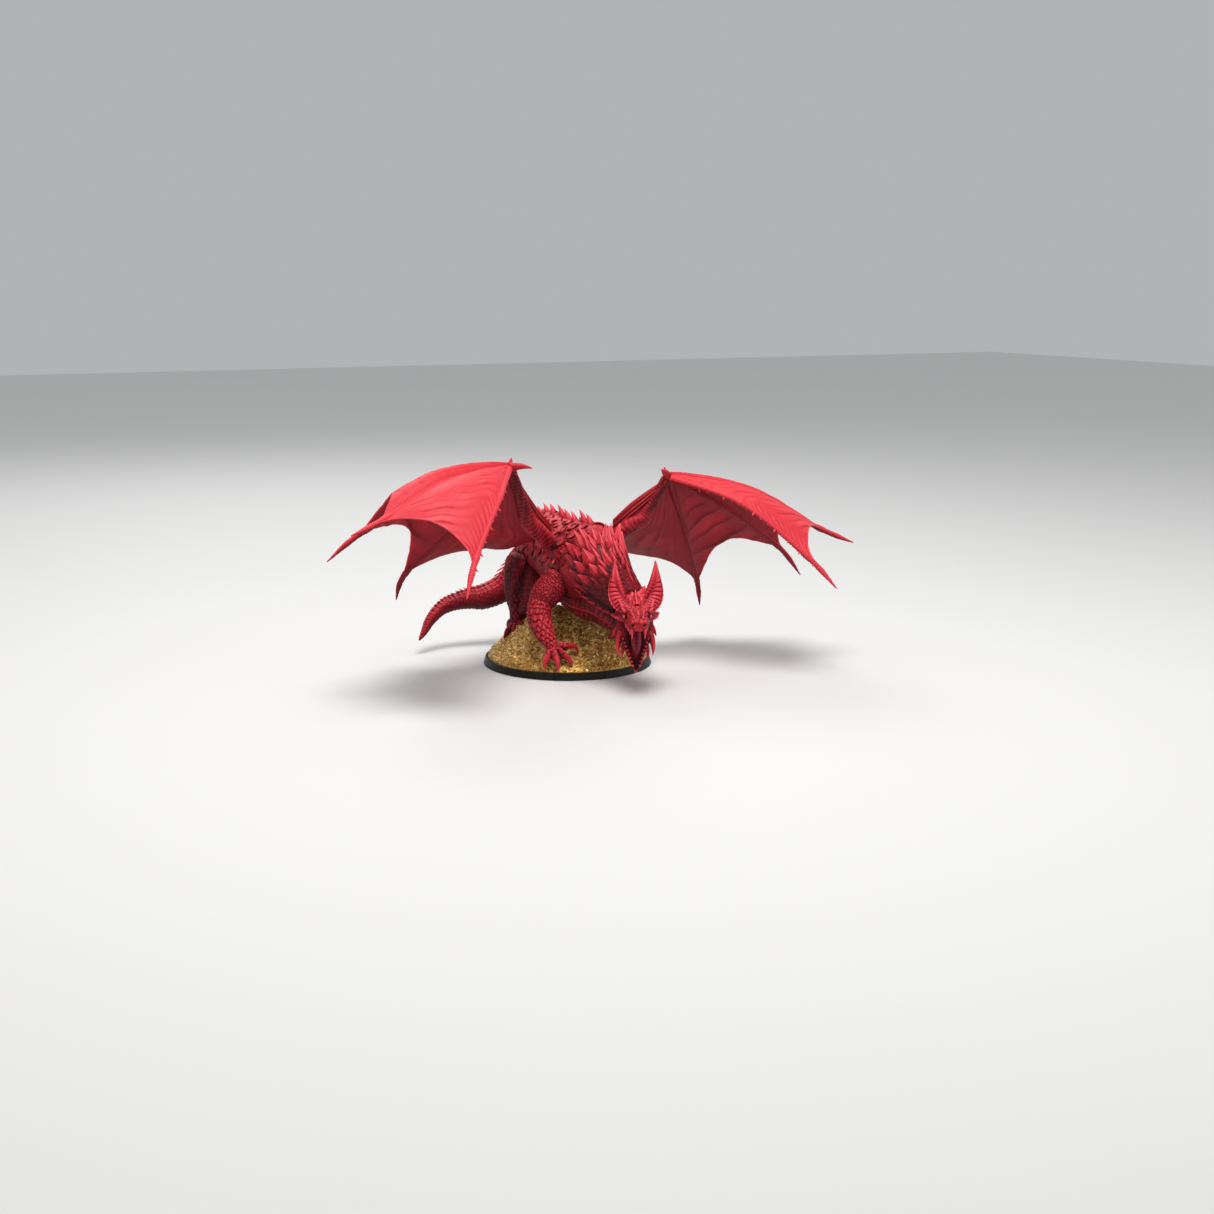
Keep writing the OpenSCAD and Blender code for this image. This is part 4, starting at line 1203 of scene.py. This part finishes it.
def make_jaw():
    sh = Shape()
    sh.add(*jaw_skin())
    for s in (RIGHT, LEFT):
        add_jaw_side(sh, s)
    for k in range(6):      # scutes under the chin
        plate(sh, jp(0, -25 + 3.8 * k, -1.6 - 0.25 * min(k, 3)), jv(0, 0, -1), jv(0, 1, 0), 5.2, 4.6 + k,
              lift=0.12, thick=0.7, tone=0.45, nu=8)
    claw(sh, jp(0, -26.5, -0.6), jp(0, -29.6, -4.6), 1.5, bend=jv(0, -0.8, -0.4), tone=0.58)
    claw(sh, jp(0, -21.5, -1.6), jp(0, -24.5, -5.0), 1.2, bend=jv(0, -0.6, -0.3), tone=0.55)
    return sh


def tongue_relief(s, a, r):
    """A groove down the middle, and faint rings over the top."""
    return 0.1 * np.sin(s * 3) * bell(a, math.pi / 2, 1.2) - 0.55 * bell(a, math.pi / 2, 0.3)


def make_tongue():
    sh = Shape()
    # the groove down the middle is painted darker as painted shade, and its raised rings lighter
    tube(sh, [[*at_jaw(p[:3]), p[3]] for p in tongue_line], sides=48, step=0.3, top=jv(0, 0, 1), flat=0.62,
         ends=(1, 0), relief=tongue_relief, tone=lambda s, a, x: 0.36 + 0.3 * x)
    return sh


def make_horn(side):
    sh = Shape()
    line = mirror(horn_line, side)

    def relief(s, a, r):
        ringed = 0.07 * np.sin(s * 3.1) * (1 - ease(s, 9, 16))
        return (ringed + 0.16 * np.cos(5 * a + 0.1 * s)) * np.clip(r / 2, 0.2, 1)

    # raised rings and ridges are painted lighter as painted highlight; the horn gets lighter towards its tip
    tube(sh, np.column_stack([at_head(line[:, :3]), line[:, 3]]), sides=40, step=0.25, top=hv(0, -1, 0.3),
         relief=relief, tone=lambda s, a, x: 0.52 + 0.2 * ease(s, 6, 20) + 0.5 * x)
    for k in range(3):      # thorns behind its lower half
        foot = line[1, :3] + (line[2, :3] - line[1, :3]) * 0.5 * k
        claw(sh, at_head(foot + [0, 1.5, 0.5]), at_head(foot + [side * 0.5, 5.5, 3]), 1.1, bend=hv(0, 0, 0.4),
             tone=0.6)
    return sh


def make_frill(side):
    """The bony crest from the brow outwards, with grooves that fan out to a fine rim."""
    sh = Shape()
    rim, root = spline(frill_rim, 16), spline(frill_root, 16)
    u = np.linspace(0, 1, len(rim))[:, None]
    q = np.linspace(0, 1, 34)[None, :]
    phase = (u * 12.5 - 1.1 * q) * 2 * math.pi
    rib = 1 - (0.5 - 0.5 * np.cos(phase)) ** 4
    reach = 1 + 0.05 * (rib - 0.5) * ease(q, 0.8, 1.0)
    p = root[:, None] + (rim - root)[:, None] * (q * reach)[..., None]
    out = unit(np.cross(np.gradient(rim, axis=0), rim - root))[:, None]
    room = np.clip(np.linalg.norm(rim - root, axis=1) / 5, 0.1, 1)[:, None]
    bow = room * (1.5 * np.sin(math.pi * q) - 0.5 * q)
    grooved = ease(q, 0.05, 0.3) * (1 - 0.75 * ease(q, 0.72, 0.95))
    raised = 0.42 * room * (rib - 0.6) * grooved + 0.5 * ease(q, 0.93, 0.985) * (1 - ease(q, 0.985, 1.0))
    thick = (1.25 - 0.75 * q) * (0.4 + 0.6 * room)
    face, back = (at_head(mirror(p + out * h[..., None], side)) for h in (-bow - raised, thick - bow * 0.6))
    # painted light and shade: the ribs are painted lighter and the grooves between them darker, the rim
    # lighter as a painted highlight, the root darker as painted shade and the back darker still
    shade = 0.56 + 0.36 * (rib - 0.7) * grooved + 0.14 * ease(q, 0.88, 1.0) - 0.18 * (1 - ease(q, 0, 0.3))
    slab(sh, face, back, shade, shade - 0.15)
    return sh


# ---- legs ----

LEG_TOP = (0, -1, 0.3)      # the front of a limb counts as its top


def leg_line(line, side, shift, fore):
    """The limb's middle line, with the swell of its muscles in the radius."""
    limb = spline(leg_path(line, side, shift), 10)
    s = length_along(limb)
    whole = s[-1]
    limb[:, 3] -= 0.45
    if fore:
        limb[:, 3] += 0.4 * bell(s, 0.26 * whole, 7) - 0.9 * bell(s, 0.46 * whole, 5)
        limb[:, 3] -= 0.5 * bell(s, 0.7 * whole, 8) + 1.7 * ease(s, 0.68 * whole, whole)
    else:
        limb[:, 3] -= 1.1 * ease(s, 0.86 * whole, whole)
    return limb


def instep(heel, knuckle):
    return heel * 0.5 + knuckle * 0.5 + [0, 0, 0.5]


def toe_points(limb, tips, side, shift, fore):
    """Heel, knuckle, nail and tip of each toe, and whether it is the thumb."""
    palm, wrist = limb[-1, :3], limb[int((0.76 if fore else 0.84) * len(limb)), :3]
    toes = []
    for k, t in enumerate(tips):
        tip = mirror(np.add(t, shift), side)
        thumb = fore and k == 3
        heel = wrist * 0.5 + palm * 0.5 + (tip - palm) * [0.22, 0.22, 0.05]
        knuckle = palm * 0.47 + tip * 0.53 + [0, 0, 4.6 if thumb else 3.4]
        nail = knuckle * 0.8 + tip * 0.2 + [0, 0, 0.7]
        toes.append((heel, knuckle, nail, tip, thumb))
    return toes


def leg_core(limb, toes, side, fore):
    """One smooth skin over the limb, its muscles and its toes."""
    core = Shape()
    tube(core, limb, sides=28, step=1.2, top=LEG_TOP, curve=False, ends=(6, 2.5))
    if not fore:
        tube(core, mirror(thigh_front, side), sides=28, step=1.2, top=LEG_TOP, ends=(4, 3))
    for heel, knuckle, nail, _, _ in toes:
        tube(core, [[*heel, 2.5], [*instep(heel, knuckle), 2.0], [*knuckle, 2.35], [*nail, 1.8]], sides=18,
             top=(0.02, 0.01, 1), ends=(1.5, 1.2))
    return fused(core)


def leg_skin(limb, toes, side, fore, dark):
    """The leg's skin, with rings of scutes in front and pebbles elsewhere."""
    v, quads, tris = leg_core(limb, toes, side, fore)
    fine = Limb(limb, 0.7, LEG_TOP)
    tree = tree_of(fine.p[:, :3])
    near = np.array([tree.find(p)[1] for p in v])
    rel = v - fine.p[near, :3]
    angle = np.arctan2((rel * fine.up[near]).sum(1), (rel * fine.side[near]).sum(1))
    along = fine.s[near] + (rel * fine.d[near]).sum(1)
    whole = fine.s[-1]
    foot = ease(along, whole - 3, whole + 1)
    border, ident = cells(v, 2.0 if fore else 2.3, 21)
    pebble = (np.clip(border, 0, 0.32) / 0.32) ** 0.6 - 0.5
    front = bell(wrapped(angle - math.pi / 2), 0, 1.15)
    if fore:
        lower = ease(along, 0.42 * whole, 0.5 * whole)
        scute = rings(along, 2.7, 1.0) * front * (0.12 + 0.88 * lower)
        turned = np.abs(wrapped(angle - math.pi / 2 - 0.5 * side))
        fan = rings(along + 2.6 * turned, 2.1, 1.0) * bell(turned, 0, 0.9)
        fan *= 1 - ease(along, 0.34 * whole, 0.42 * whole)
        height = (0.75 * scute + 0.36 * fan + 0.55 * pebble) * (1 - foot) + 0.3 * pebble * foot
    else:
        folds = 0.24 * np.sin(6 * angle + 0.15 * along) + 0.25 * rings(along, 3.2, 1.0) * front
        height = 0.34 * pebble + folds * (1 - foot)
    v = v + normals(v, quads, tris) * (height - 0.15)[:, None]
    # raised scutes and pebbles are painted lighter and the grooves darker, as painted highlight and shade,
    # with random tone from cell to cell
    return v, quads, tris, dark - 0.04 + 0.3 * height + 0.1 * (ident - 0.5)


def add_toe(sh, toe, dark):
    """Scutes down the toe, its claw, and a scute at each side of the claw's root."""
    heel, knuckle, nail, tip, thumb = toe
    line = spline([heel, instep(heel, knuckle), knuckle, nail], 8)
    steps = unit(np.gradient(line, axis=0))
    for i in range(1, 24, 4):
        up = unit(arr(0, 0, 1) - steps[i] * steps[i][2])
        plate(sh, line[i] + up * 1.75, up, steps[i] + 0.1 * up, 2.9, 3.1, lift=0.1, keel=0.45, thick=0.7,
              tone=dark + 0.14, nu=7, nv=7, droop=0.16)
    run = unit(tip - knuckle)
    lift = unit(arr(0, 0, 1) - run * run[2])
    across = np.cross(run, lift)
    claw(sh, nail - run * 1.2 + lift * 0.2, tip, 2.1, bend=lift * (2.6 if thumb else 1.5) + run * 0.2,
         sides=16, rows=18, power=0.75, tone=dark + 0.06, groove=0.04)
    for sgn in (-1, 1):
        plate(sh, nail - run * 0.8 + across * sgn + lift * 0.6, unit(lift + across * sgn), run, 2.6, 2.0,
              lift=0.08, keel=0.3, thick=0.5, tone=dark + 0.12, nu=6, nv=5)


def add_leg_scutes(sh, limb, fore, dark):
    """Rows of scutes down the front of the limb, four and five at a time."""
    whole = limb.s[-1]
    at = (0.44 if fore else 0.55) * whole
    tone = dark + (0.1 if fore else 0.03)
    row = 0
    while at < whole - 3:
        i = int(np.searchsorted(limb.s, at))
        size = limb.p[i, 3] / 8 * (0.55 + 0.45 * ease(row, 0, 3))
        # scutes further round the side are painted a little darker, as painted shade
        for k in ((-1.5, -0.5, 0.5, 1.5) if row % 2 else (-2, -1, 0, 1, 2)):
            if fore or abs(k) < 2:
                limb.shield(sh, i, 90 + k * 30, 0.25, 4.4 * size + 0.8, 4.0 * size + 0.6, point=1.9,
                            droop=0.1, lift=0.14 if fore else 0.08, tone=tone - 0.04 * abs(k), keel=0.45,
                            nu=7, nv=7)
        at += 2.9 * size + 0.5
        row += 1


def add_elbow_thorns(sh, limb, side, dark):
    """Thorns behind the elbow, and a fringe that hangs inside it."""
    for k, j in product(range(5), (-1, 0, 1)):
        i = int(len(limb.p) * (0.40 + 0.055 * k))
        out = unit(0.5 * j * limb.side[i] - limb.up[i])
        base = limb.skin(i, out, 0.8)
        tip = base + out * (4.2 - 0.5 * abs(j)) - limb.d[i] * 2.0 * (1 - 0.6 * k)
        claw(sh, base, tip, 1.15, bend=limb.d[i] * 0.4, sides=8, rows=8, tone=dark + 0.04)
    # the fringe inside the elbow is painted darker, as painted shade
    for k in range(6):
        i = int(len(limb.p) * (0.34 + 0.045 * k))
        base = limb.skin(i, unit(arr(-side, 0, 0) + 0.3 * limb.up[i]), 0.8)
        claw(sh, base, base + arr(-side, -0.2, -4.4 + 0.3 * k), 1.3, sides=8, rows=8, tone=dark - 0.08)


def add_hock_thorns(sh, limb):
    """Thorns down the back of the hind leg, to one side and the other."""
    for k in range(9):
        i = int(len(limb.p) * (0.22 + 0.075 * k))
        out = unit(0.2 * limb.side[i] * (1 if k % 2 else -1) - limb.up[i])
        base = limb.skin(i, out, 0.8)
        claw(sh, base, base + out * 3.4 - limb.d[i] * 1.2, 1.0, bend=limb.d[i] * 0.3, sides=8, rows=8,
             tone=0.3)


def make_leg(line, tips, side, shift, fore):
    sh = Shape()
    # painted shade: the legs are painted darker than the body, the hind legs darkest as painted shadow under
    # the wings
    dark = 0.42 if fore else 0.2
    middle = leg_line(line, side, shift, fore)
    toes = toe_points(middle, tips, side, shift, fore)
    sh.add(*leg_skin(middle, toes, side, fore, dark))
    for toe in toes:
        add_toe(sh, toe, dark)
    limb = Limb(middle, 0.5, LEG_TOP)
    add_leg_scutes(sh, limb, fore, dark)
    if fore:
        add_elbow_thorns(sh, limb, side, dark)
    else:
        add_hock_thorns(sh, limb)
    return sh


# ---- mound ----

def mound_top(x, y):
    r = np.hypot(x, y)
    heap = 6 * np.exp(-((x + 14) ** 2 + (y - 20) ** 2) / 288)
    return 4.3 + heap + 27 * (1 - np.minimum(1, r / mound_r) ** 1.6)


def mound_wave(x, y):
    return (0.8 * np.sin(x * 0.21 + 1.3) * np.sin(y * 0.17 + 0.4) + 0.45 * np.sin(x * 0.47 - y * 0.31)
            + 0.3 * np.sin(x * 0.9 + 2 * np.sin(y * 0.4)) * np.sin(y * 0.83))


def heap_skin():
    """The wavy, pebbled heap under the coins, with a flat foot."""
    rows, cols = 100, 300
    q = np.linspace(0, 1, rows)[:, None]
    a = np.arange(cols)[None, :] * 2 * math.pi / cols
    r = mound_r * q ** 0.9
    x, y = r * np.cos(a), r * np.sin(a)
    z = mound_top(x, y) + mound_wave(x, y) * (1 - ease(q, 0.9, 1.0)) * ease(q, 0, 0.1)
    p = np.stack([x, y, z], -1)
    border, ident = cells(p.reshape(-1, 3), 1.7, 40)
    pebble = (np.clip(border, 0, 0.3) / 0.3) ** 0.6 - 0.5
    grain = pebble.reshape(z.shape) * 0.9 * ease(q, 0.0, 0.05)
    p[..., 2] += grain * (1 - ease(q, 0.985, 1.0))
    # raised pebbles are painted lighter as painted highlight, with random tone from cell to cell
    tone = 0.36 + 0.25 * grain + 0.12 * (ident.reshape(z.shape) - 0.5)
    # the first ring is one point, the heap's middle, so it gives way to the ring of the foot
    foot = p[-1] * [1, 1, 0] + [0, 0, mound_foot]
    v = np.vstack([p[1:].reshape(-1, 3), foot, [0, 0, float(mound_top(0, 0))], [0, 0, mound_foot]])
    return v, *tube_faces(rows, cols), np.r_[tone[1:].ravel(), np.full(cols + 2, 0.2)]


def add_coins(sh, count):
    """Small discs with a raised rim, lying every way on the heap."""
    sides = 8
    turns = np.arange(sides) * 2 * math.pi / sides
    coin = [[r * math.cos(t), r * math.sin(t), z] for r, z in ((0.72, 0.14), (0.95, 0.2), (1.0, -0.14))
            for t in turns] + [[0, 0, 0.12], [0, 0, -0.14]]
    radius = mound_r * np.sqrt(rng.uniform(0.0, 0.985, count))
    bearing = rng.uniform(0, 2 * math.pi, count)
    x, y = radius * np.cos(bearing), radius * np.sin(bearing)
    z = mound_top(x, y) + mound_wave(x, y) * (1 - ease(radius / mound_r, 0.9, 1.0))
    z += rng.uniform(-0.1, 0.35, count)
    slope_x = mound_top(x + 0.5, y) - mound_top(x - 0.5, y)
    slope_y = mound_top(x, y + 0.5) - mound_top(x, y - 0.5)
    up = unit(np.column_stack([-slope_x, -slope_y, np.ones(count)]) + rng.normal(0, 0.55, (count, 3)))
    e1 = unit(np.cross(up, rng.normal(0, 1, (count, 3))))
    axes = np.stack([e1, np.cross(up, e1), up], 1)
    size = rng.uniform(0.62, 1.12, count)[:, None, None]
    v = np.column_stack([x, y, z])[:, None] + np.einsum("vk,nkc->nvc", coin, axes) * size
    v[..., 2] = np.maximum(v[..., 2], 3.6)
    squeeze = np.minimum(1, (mound_r + 0.5) / np.maximum(np.hypot(v[..., 0], v[..., 1]), 1))
    v[..., :2] *= squeeze[..., None]
    # random tone from coin to coin, and each coin's rim painted lighter as a painted highlight
    tone = 0.55 + 0.2 * rng.uniform(-1, 1, count)
    rim_tone = np.r_[np.zeros(sides), np.full(sides, 0.16), np.zeros(sides + 2)]
    for points, t in zip(v, tone):
        sh.add(points, *tube_faces(3, sides), t + rim_tone)


def make_mound():
    sh = Shape()
    sh.add(*heap_skin())
    add_coins(sh, 2800)
    return sh


# ---- build everything ----

shapes = {}
SIDES = ((RIGHT, "right"), (LEFT, "left"))
for side, name in SIDES:
    shapes[name + "_wing_sail"] = make_sail(side)
    shapes[name + "_wing_arm"] = make_arm(side)
wing_tree = tree_of(np.vstack([sh.join()[0][::7] for sh in shapes.values()]))
shapes["torso_back"] = make_torso(wing_tree)
shapes["neck"] = make_neck()
shapes["tail_root"] = make_tail(0, 4, 110)
shapes["tail_tip"] = make_tail(4, 10, 80)
shapes["skull"] = make_skull()
shapes["lower_jaw"] = make_jaw()
shapes["tongue"] = make_tongue()
for side, name in SIDES:
    shift = left_fore_shift if side == LEFT else [0, 0, 0]
    shapes[name + "_horn"] = make_horn(side)
    shapes[name + "_frill"] = make_frill(side)
    shapes[name + "_foreleg"] = make_leg(foreleg_line, foreleg_toes, side, shift, True)
    shapes[name + "_hindleg"] = make_leg(hindleg_line, hindleg_toes, side, [0, 0, 0], False)
shapes["treasure_mound"] = make_mound()


# ---- paint tones, with painted light and shade ----

def curvature(v, quads, tris, nrm):
    """How far each point stands out of its neighbours, positive on ridges."""
    e = np.vstack([f[:, [k, (k + 1) % f.shape[1]]] for f in (quads, tris) for k in range(f.shape[1])])
    count = np.maximum(np.bincount(e[:, 0], minlength=len(v)), 1)
    mean = np.column_stack([np.bincount(e[:, 0], v[e[:, 1], c], len(v)) for c in range(3)]) / count[:, None]
    size = np.bincount(e[:, 0], np.linalg.norm(v[e[:, 1]] - v[e[:, 0]], axis=1), len(v)) / count
    c = ((v - mean) * nrm).sum(1) / np.maximum(size, 1e-6)
    for _ in range(2):
        c = 0.5 * c + 0.5 * np.bincount(e[:, 0], c[e[:, 1]], len(v)) / count
    return c


def shelter():
    """How much of the sky near each point other surfaces close off, from 0 to 1."""
    vs, fs, n = [], [], 0
    for sh in shapes.values():
        v, quads, tris, _ = sh.join()
        vs.append(v)
        fs.append(np.vstack([quads[:, [0, 1, 2]], quads[:, [0, 2, 3]], tris]) + n)
        n += len(v)
    tree = BVHTree.FromPolygons(np.vstack(vs).tolist(), np.vstack(fs).tolist(), all_triangles=True)
    rays, reach = 7, 5.0
    k = np.arange(rays) + 0.5
    z = 1 - 0.85 * k / rays
    golden = k * 2.399963
    dirs = np.column_stack([np.sqrt(1 - z ** 2) * np.cos(golden), np.sqrt(1 - z ** 2) * np.sin(golden), z])
    out = {}
    for name, sh in shapes.items():
        if name.endswith("sail") or name == "treasure_mound":
            continue
        v, quads, tris, _ = sh.join()
        nrm = normals(v, quads, tris)
        e1 = unit(np.cross(nrm, [0.3, 0.5, 0.81]))
        e2 = np.cross(nrm, e1)
        starts = (v + nrm * 0.12).tolist()
        total = np.zeros(len(v))
        for d in dirs:
            ways = (e1 * d[0] + e2 * d[1] + nrm * d[2]).tolist()
            dist = np.array([tree.ray_cast(o, w, reach)[3] or reach for o, w in zip(starts, ways)])
            total += 1 - dist / reach
        out[name] = total / rays
    return out


# painted shade: how sheltered each point is, which darkens its tone in shaded()
sheltered = shelter()
# how strongly ridges (painted highlights and crease shade), shelter (painted shade in hollows) and facing the
# sky (painted light from above) change the tone of each kind of piece
ARM_GAINS, SAIL_GAINS, HINDLEG_GAINS = (0.45, 0.34, 0.14), (0.34, 0.30, 0.0), (0.4, 0.3, 0.12)
gains = {"right_wing_arm": ARM_GAINS, "left_wing_arm": ARM_GAINS,
         "right_wing_sail": SAIL_GAINS, "left_wing_sail": SAIL_GAINS,
         "right_hindleg": HINDLEG_GAINS, "left_hindleg": HINDLEG_GAINS,
         "treasure_mound": (0.45, 0.42, 0.10), "torso_back": (0.5, 0.48, 0.16)}


def shaded(name, v, quads, tris, tone):
    """The tone at each point, from 0 to 1: ridges are painted lighter and creases darker, partly the
    miniature's light edges and dark wash and partly painted highlights and shade; hollows that other surfaces
    close off are painted darker as painted shade, and upward faces lighter as painted light from above.
    """
    nrm = normals(v, quads, tris)
    ridge, hollow, sky = gains.get(name, (0.5, 0.62, 0.16))
    # painted light and shade: ridges lighter and creases darker, upward faces lighter, sheltered hollows
    # darker
    tone = tone + ridge * np.clip(curvature(v, quads, tris, nrm) * 1.6, -0.5, 0.45) + sky * nrm[:, 2]
    return np.clip(tone - hollow * sheltered.get(name, 0), 0, 1)


# ---- materials ----

def wire(m, socket, value):
    """Link a node's output to a socket, or set a constant on it."""
    if isinstance(value, bpy.types.NodeSocket):
        m.node_tree.links.new(value, socket)
    else:
        socket.default_value = value


def node(m, kind, inputs, **settings):
    n = m.node_tree.nodes.new("ShaderNode" + kind)
    for name, value in settings.items():
        setattr(n, name, value)
    for key, value in inputs.items():
        wire(m, n.inputs[key], value)
    return n


def noise(m, scale, detail, distortion=0.0):
    place = node(m, "TexCoord", {}).outputs["Object"]
    look = {"Vector": place, "Scale": scale, "Detail": detail, "Distortion": distortion}
    return node(m, "TexNoise", look).outputs["Fac"]


def maths(m, operation, *values):
    return node(m, "Math", dict(enumerate(values)), operation=operation).outputs[0]


def ramp(m, factor, stops):
    n = node(m, "ValToRGB", {"Fac": factor})
    elements = n.color_ramp.elements
    while len(elements) < len(stops):
        elements.new(0.5)
    for element, (position, colour) in zip(elements, stops):
        element.position = position
        element.color = (*colour, 1)
    return n.outputs["Color"]


def bump(m, height, strength, distance):
    return node(m, "Bump", {"Strength": strength, "Distance": distance, "Height": height}).outputs["Normal"]


def material(name):
    m = bpy.data.materials.new(name)
    m.use_nodes = True
    return m


def surface(m, **look):
    """Set or link the shader's own sockets, whose names are written here with underscores."""
    for name, value in look.items():
        wire(m, m.node_tree.nodes["Principled BSDF"].inputs[name.replace("_", " ")], value)
    return m


def painted(name, stops, rough=(0.38, 0.56), speckle=900, relief=0.35, metal=0.0, coat=0.0, vary=0.09,
            grain=0.00006, specular=0.2):
    """Paint whose colour follows the tone at each point, with brushy variation, fine grain and bump."""
    m = material(name)
    fine = noise(m, speckle, 3)
    mixed = node(m, "Attribute", {}, attribute_name="tone").outputs["Fac"]
    mixed = maths(m, "MULTIPLY_ADD", noise(m, 120, 4, 0.4), vary * 2, mixed)
    mixed = maths(m, "MULTIPLY_ADD", fine, vary * 1.4, mixed)
    mixed = maths(m, "SUBTRACT", mixed, vary * 1.7)
    height = maths(m, "MULTIPLY_ADD", noise(m, 1700, 3), 0.6, fine)
    return surface(m, Base_Color=ramp(m, mixed, stops), Metallic=metal, Coat_Weight=coat,
                   Roughness=maths(m, "MULTIPLY_ADD", noise(m, 500, 2), rough[1] - rough[0], rough[0]),
                   Normal=bump(m, height, relief, grain), Specular_IOR_Level=specular)


RED = [(0.0, (0.020, 0.0012, 0.003)), (0.22, (0.090, 0.003, 0.007)), (0.45, (0.27, 0.008, 0.017)),
       (0.65, (0.53, 0.020, 0.033)), (0.85, (0.80, 0.060, 0.082)), (1.0, (0.92, 0.14, 0.165))]
SAIL = [(0.0, (0.040, 0.002, 0.005)), (0.2, (0.16, 0.007, 0.014)), (0.4, (0.31, 0.014, 0.024)),
        (0.62, (0.62, 0.026, 0.040)), (0.85, (0.82, 0.050, 0.068)), (1.0, (0.94, 0.11, 0.13))]
GOLD = [(0.0, (0.040, 0.014, 0.003)), (0.25, (0.17, 0.070, 0.012)), (0.48, (0.50, 0.25, 0.045)),
        (0.7, (0.84, 0.52, 0.13)), (0.88, (1.0, 0.78, 0.30)), (1.0, (1.0, 0.92, 0.55))]
TONGUE = [(0.0, (0.04, 0.004, 0.008)), (0.35, (0.20, 0.016, 0.030)), (0.65, (0.42, 0.045, 0.070)),
          (1.0, (0.66, 0.13, 0.16))]
BLACK = [(0.35, (0.004, 0.0045, 0.004)), (0.75, (0.012, 0.013, 0.012))]
PAPER = [(0.0, (0.788, 0.788, 0.77815)), (1.0, (0.80, 0.80, 0.79))]


def black_paint():
    m = material("rim_paint")
    broad = noise(m, 260, 5)
    return surface(m, Base_Color=ramp(m, broad, BLACK), Roughness=maths(m, "MULTIPLY_ADD", broad, 0.21, 0.34),
                   Normal=bump(m, noise(m, 1500, 3), 0.3, 0.00005), Specular_IOR_Level=0.25)


def floor_paper():
    m = material("floor_paper")
    faint = node(m, "TexNoise", {"Scale": 40}).outputs["Fac"]
    return surface(m, Base_Color=ramp(m, faint, PAPER), Roughness=0.8)


paint_of = {
    "body_red": painted("red_paint", RED),
    "sail_red": painted("sail_paint", SAIL, rough=(0.42, 0.58), vary=0.05, speckle=700, relief=0.25),
    "gold_paint": painted("gold_paint", GOLD, rough=(0.30, 0.5), metal=0.5, vary=0.17, speckle=1300,
                          relief=0.5, grain=0.00012, specular=0.5),
    "tongue_red": painted("tongue_paint", TONGUE, rough=(0.3, 0.45), coat=0.1)}
slot_of = {"treasure_mound": "gold_paint", "tongue": "tongue_red"}


def placed_skin(name, shape):
    """The finished object for one casting, with its tones and its material."""
    v, quads, tris, tone = shape.join()
    me = mesh_of(name + "_skin", v, quads, tris, MM)
    attribute = me.attributes.new("tone", "FLOAT", "POINT")
    attribute.data.foreach_set("value", shaded(name, v, quads, tris, tone).astype(np.float32))
    me.polygons.foreach_set("use_smooth", np.ones(len(me.polygons), bool))
    me.validate()
    slot = slot_of.get(name, "sail_red" if name.endswith("sail") else "body_red")
    me.materials.append(paint_of[slot])
    skin = placed(name + "_skin", me)
    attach(skin, name.split("_")[0] + "_wing" if "wing" in name else "figure")
    if name == "torso_back":
        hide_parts("torso_back", "torso_belly")
    else:
        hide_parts(name)


for name, shape in shapes.items():
    placed_skin(name, shape)
base_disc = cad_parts["base_disc"]
black = black_paint()
if not base_disc.material_slots:
    base_disc.data.materials.append(black)
for slot in base_disc.material_slots:
    slot.material = black


# ---- floor, light and camera ----

floor_mesh = bpy.data.meshes.new("floor")
floor_mesh.from_pydata([(-3, -3, 0), (3, -3, 0), (3, 3, 0), (-3, 3, 0)], [], [(0, 1, 2, 3)])
floor_mesh.materials.append(floor_paper())
floor = placed("floor", floor_mesh)
floor.location.z = -0.0002

world = bpy.data.worlds.new("studio")
bpy.context.scene.world = world
world.use_nodes = True
world.node_tree.nodes["Background"].inputs["Color"].default_value = (0.97, 0.98, 1.0, 1)
world.node_tree.nodes["Background"].inputs["Strength"].default_value = 0.46


def facing(place, target):
    return (Vector(target) - Vector(place)).to_track_quat("-Z", "Y")


def lamp(name, place, target, size, power, colour=(1, 1, 1)):
    light = bpy.data.lights.new(name, "AREA")
    light.shape = "DISK"
    light.size = size
    light.energy = power
    light.color = colour
    o = placed(name, light)
    o.location = place
    o.rotation_euler = facing(place, target).to_euler()


lamp("key", (-0.08, -0.22, 1.0), (0, 0, 0.05), 0.5, 7.4, (1, 0.985, 0.96))
lamp("fill", (0.9, -0.7, 0.55), (0, 0, 0.06), 0.7, 1.0, (0.96, 0.98, 1))
lamp("rim", (0.1, 0.9, 0.8), (0, 0, 0.06), 0.5, 2.6)

cam = bpy.data.cameras.new("camera")
cam.sensor_width = 36
cam.lens = 51.0
cam.clip_start = 0.01
cam.clip_end = 20
camera = placed("camera", cam)
bpy.context.scene.camera = camera
azimuth, elevation, distance = math.radians(-28), math.radians(12.8), 1.030
back = Vector((math.sin(azimuth) * math.cos(elevation), -math.cos(azimuth) * math.cos(elevation),
               math.sin(elevation)))
aim = Vector((0, 0, 0.002))
camera.location = aim + back * distance
# the photo's aim is a little to the side of the figure and below it
aside = Matrix.Rotation(math.radians(-1.316), 3, "Y") @ Matrix.Rotation(math.radians(1.698), 3, "X")
camera.rotation_euler = (facing(camera.location, aim).to_matrix() @ aside).to_euler()
bpy.context.scene.view_settings.view_transform = "Standard"
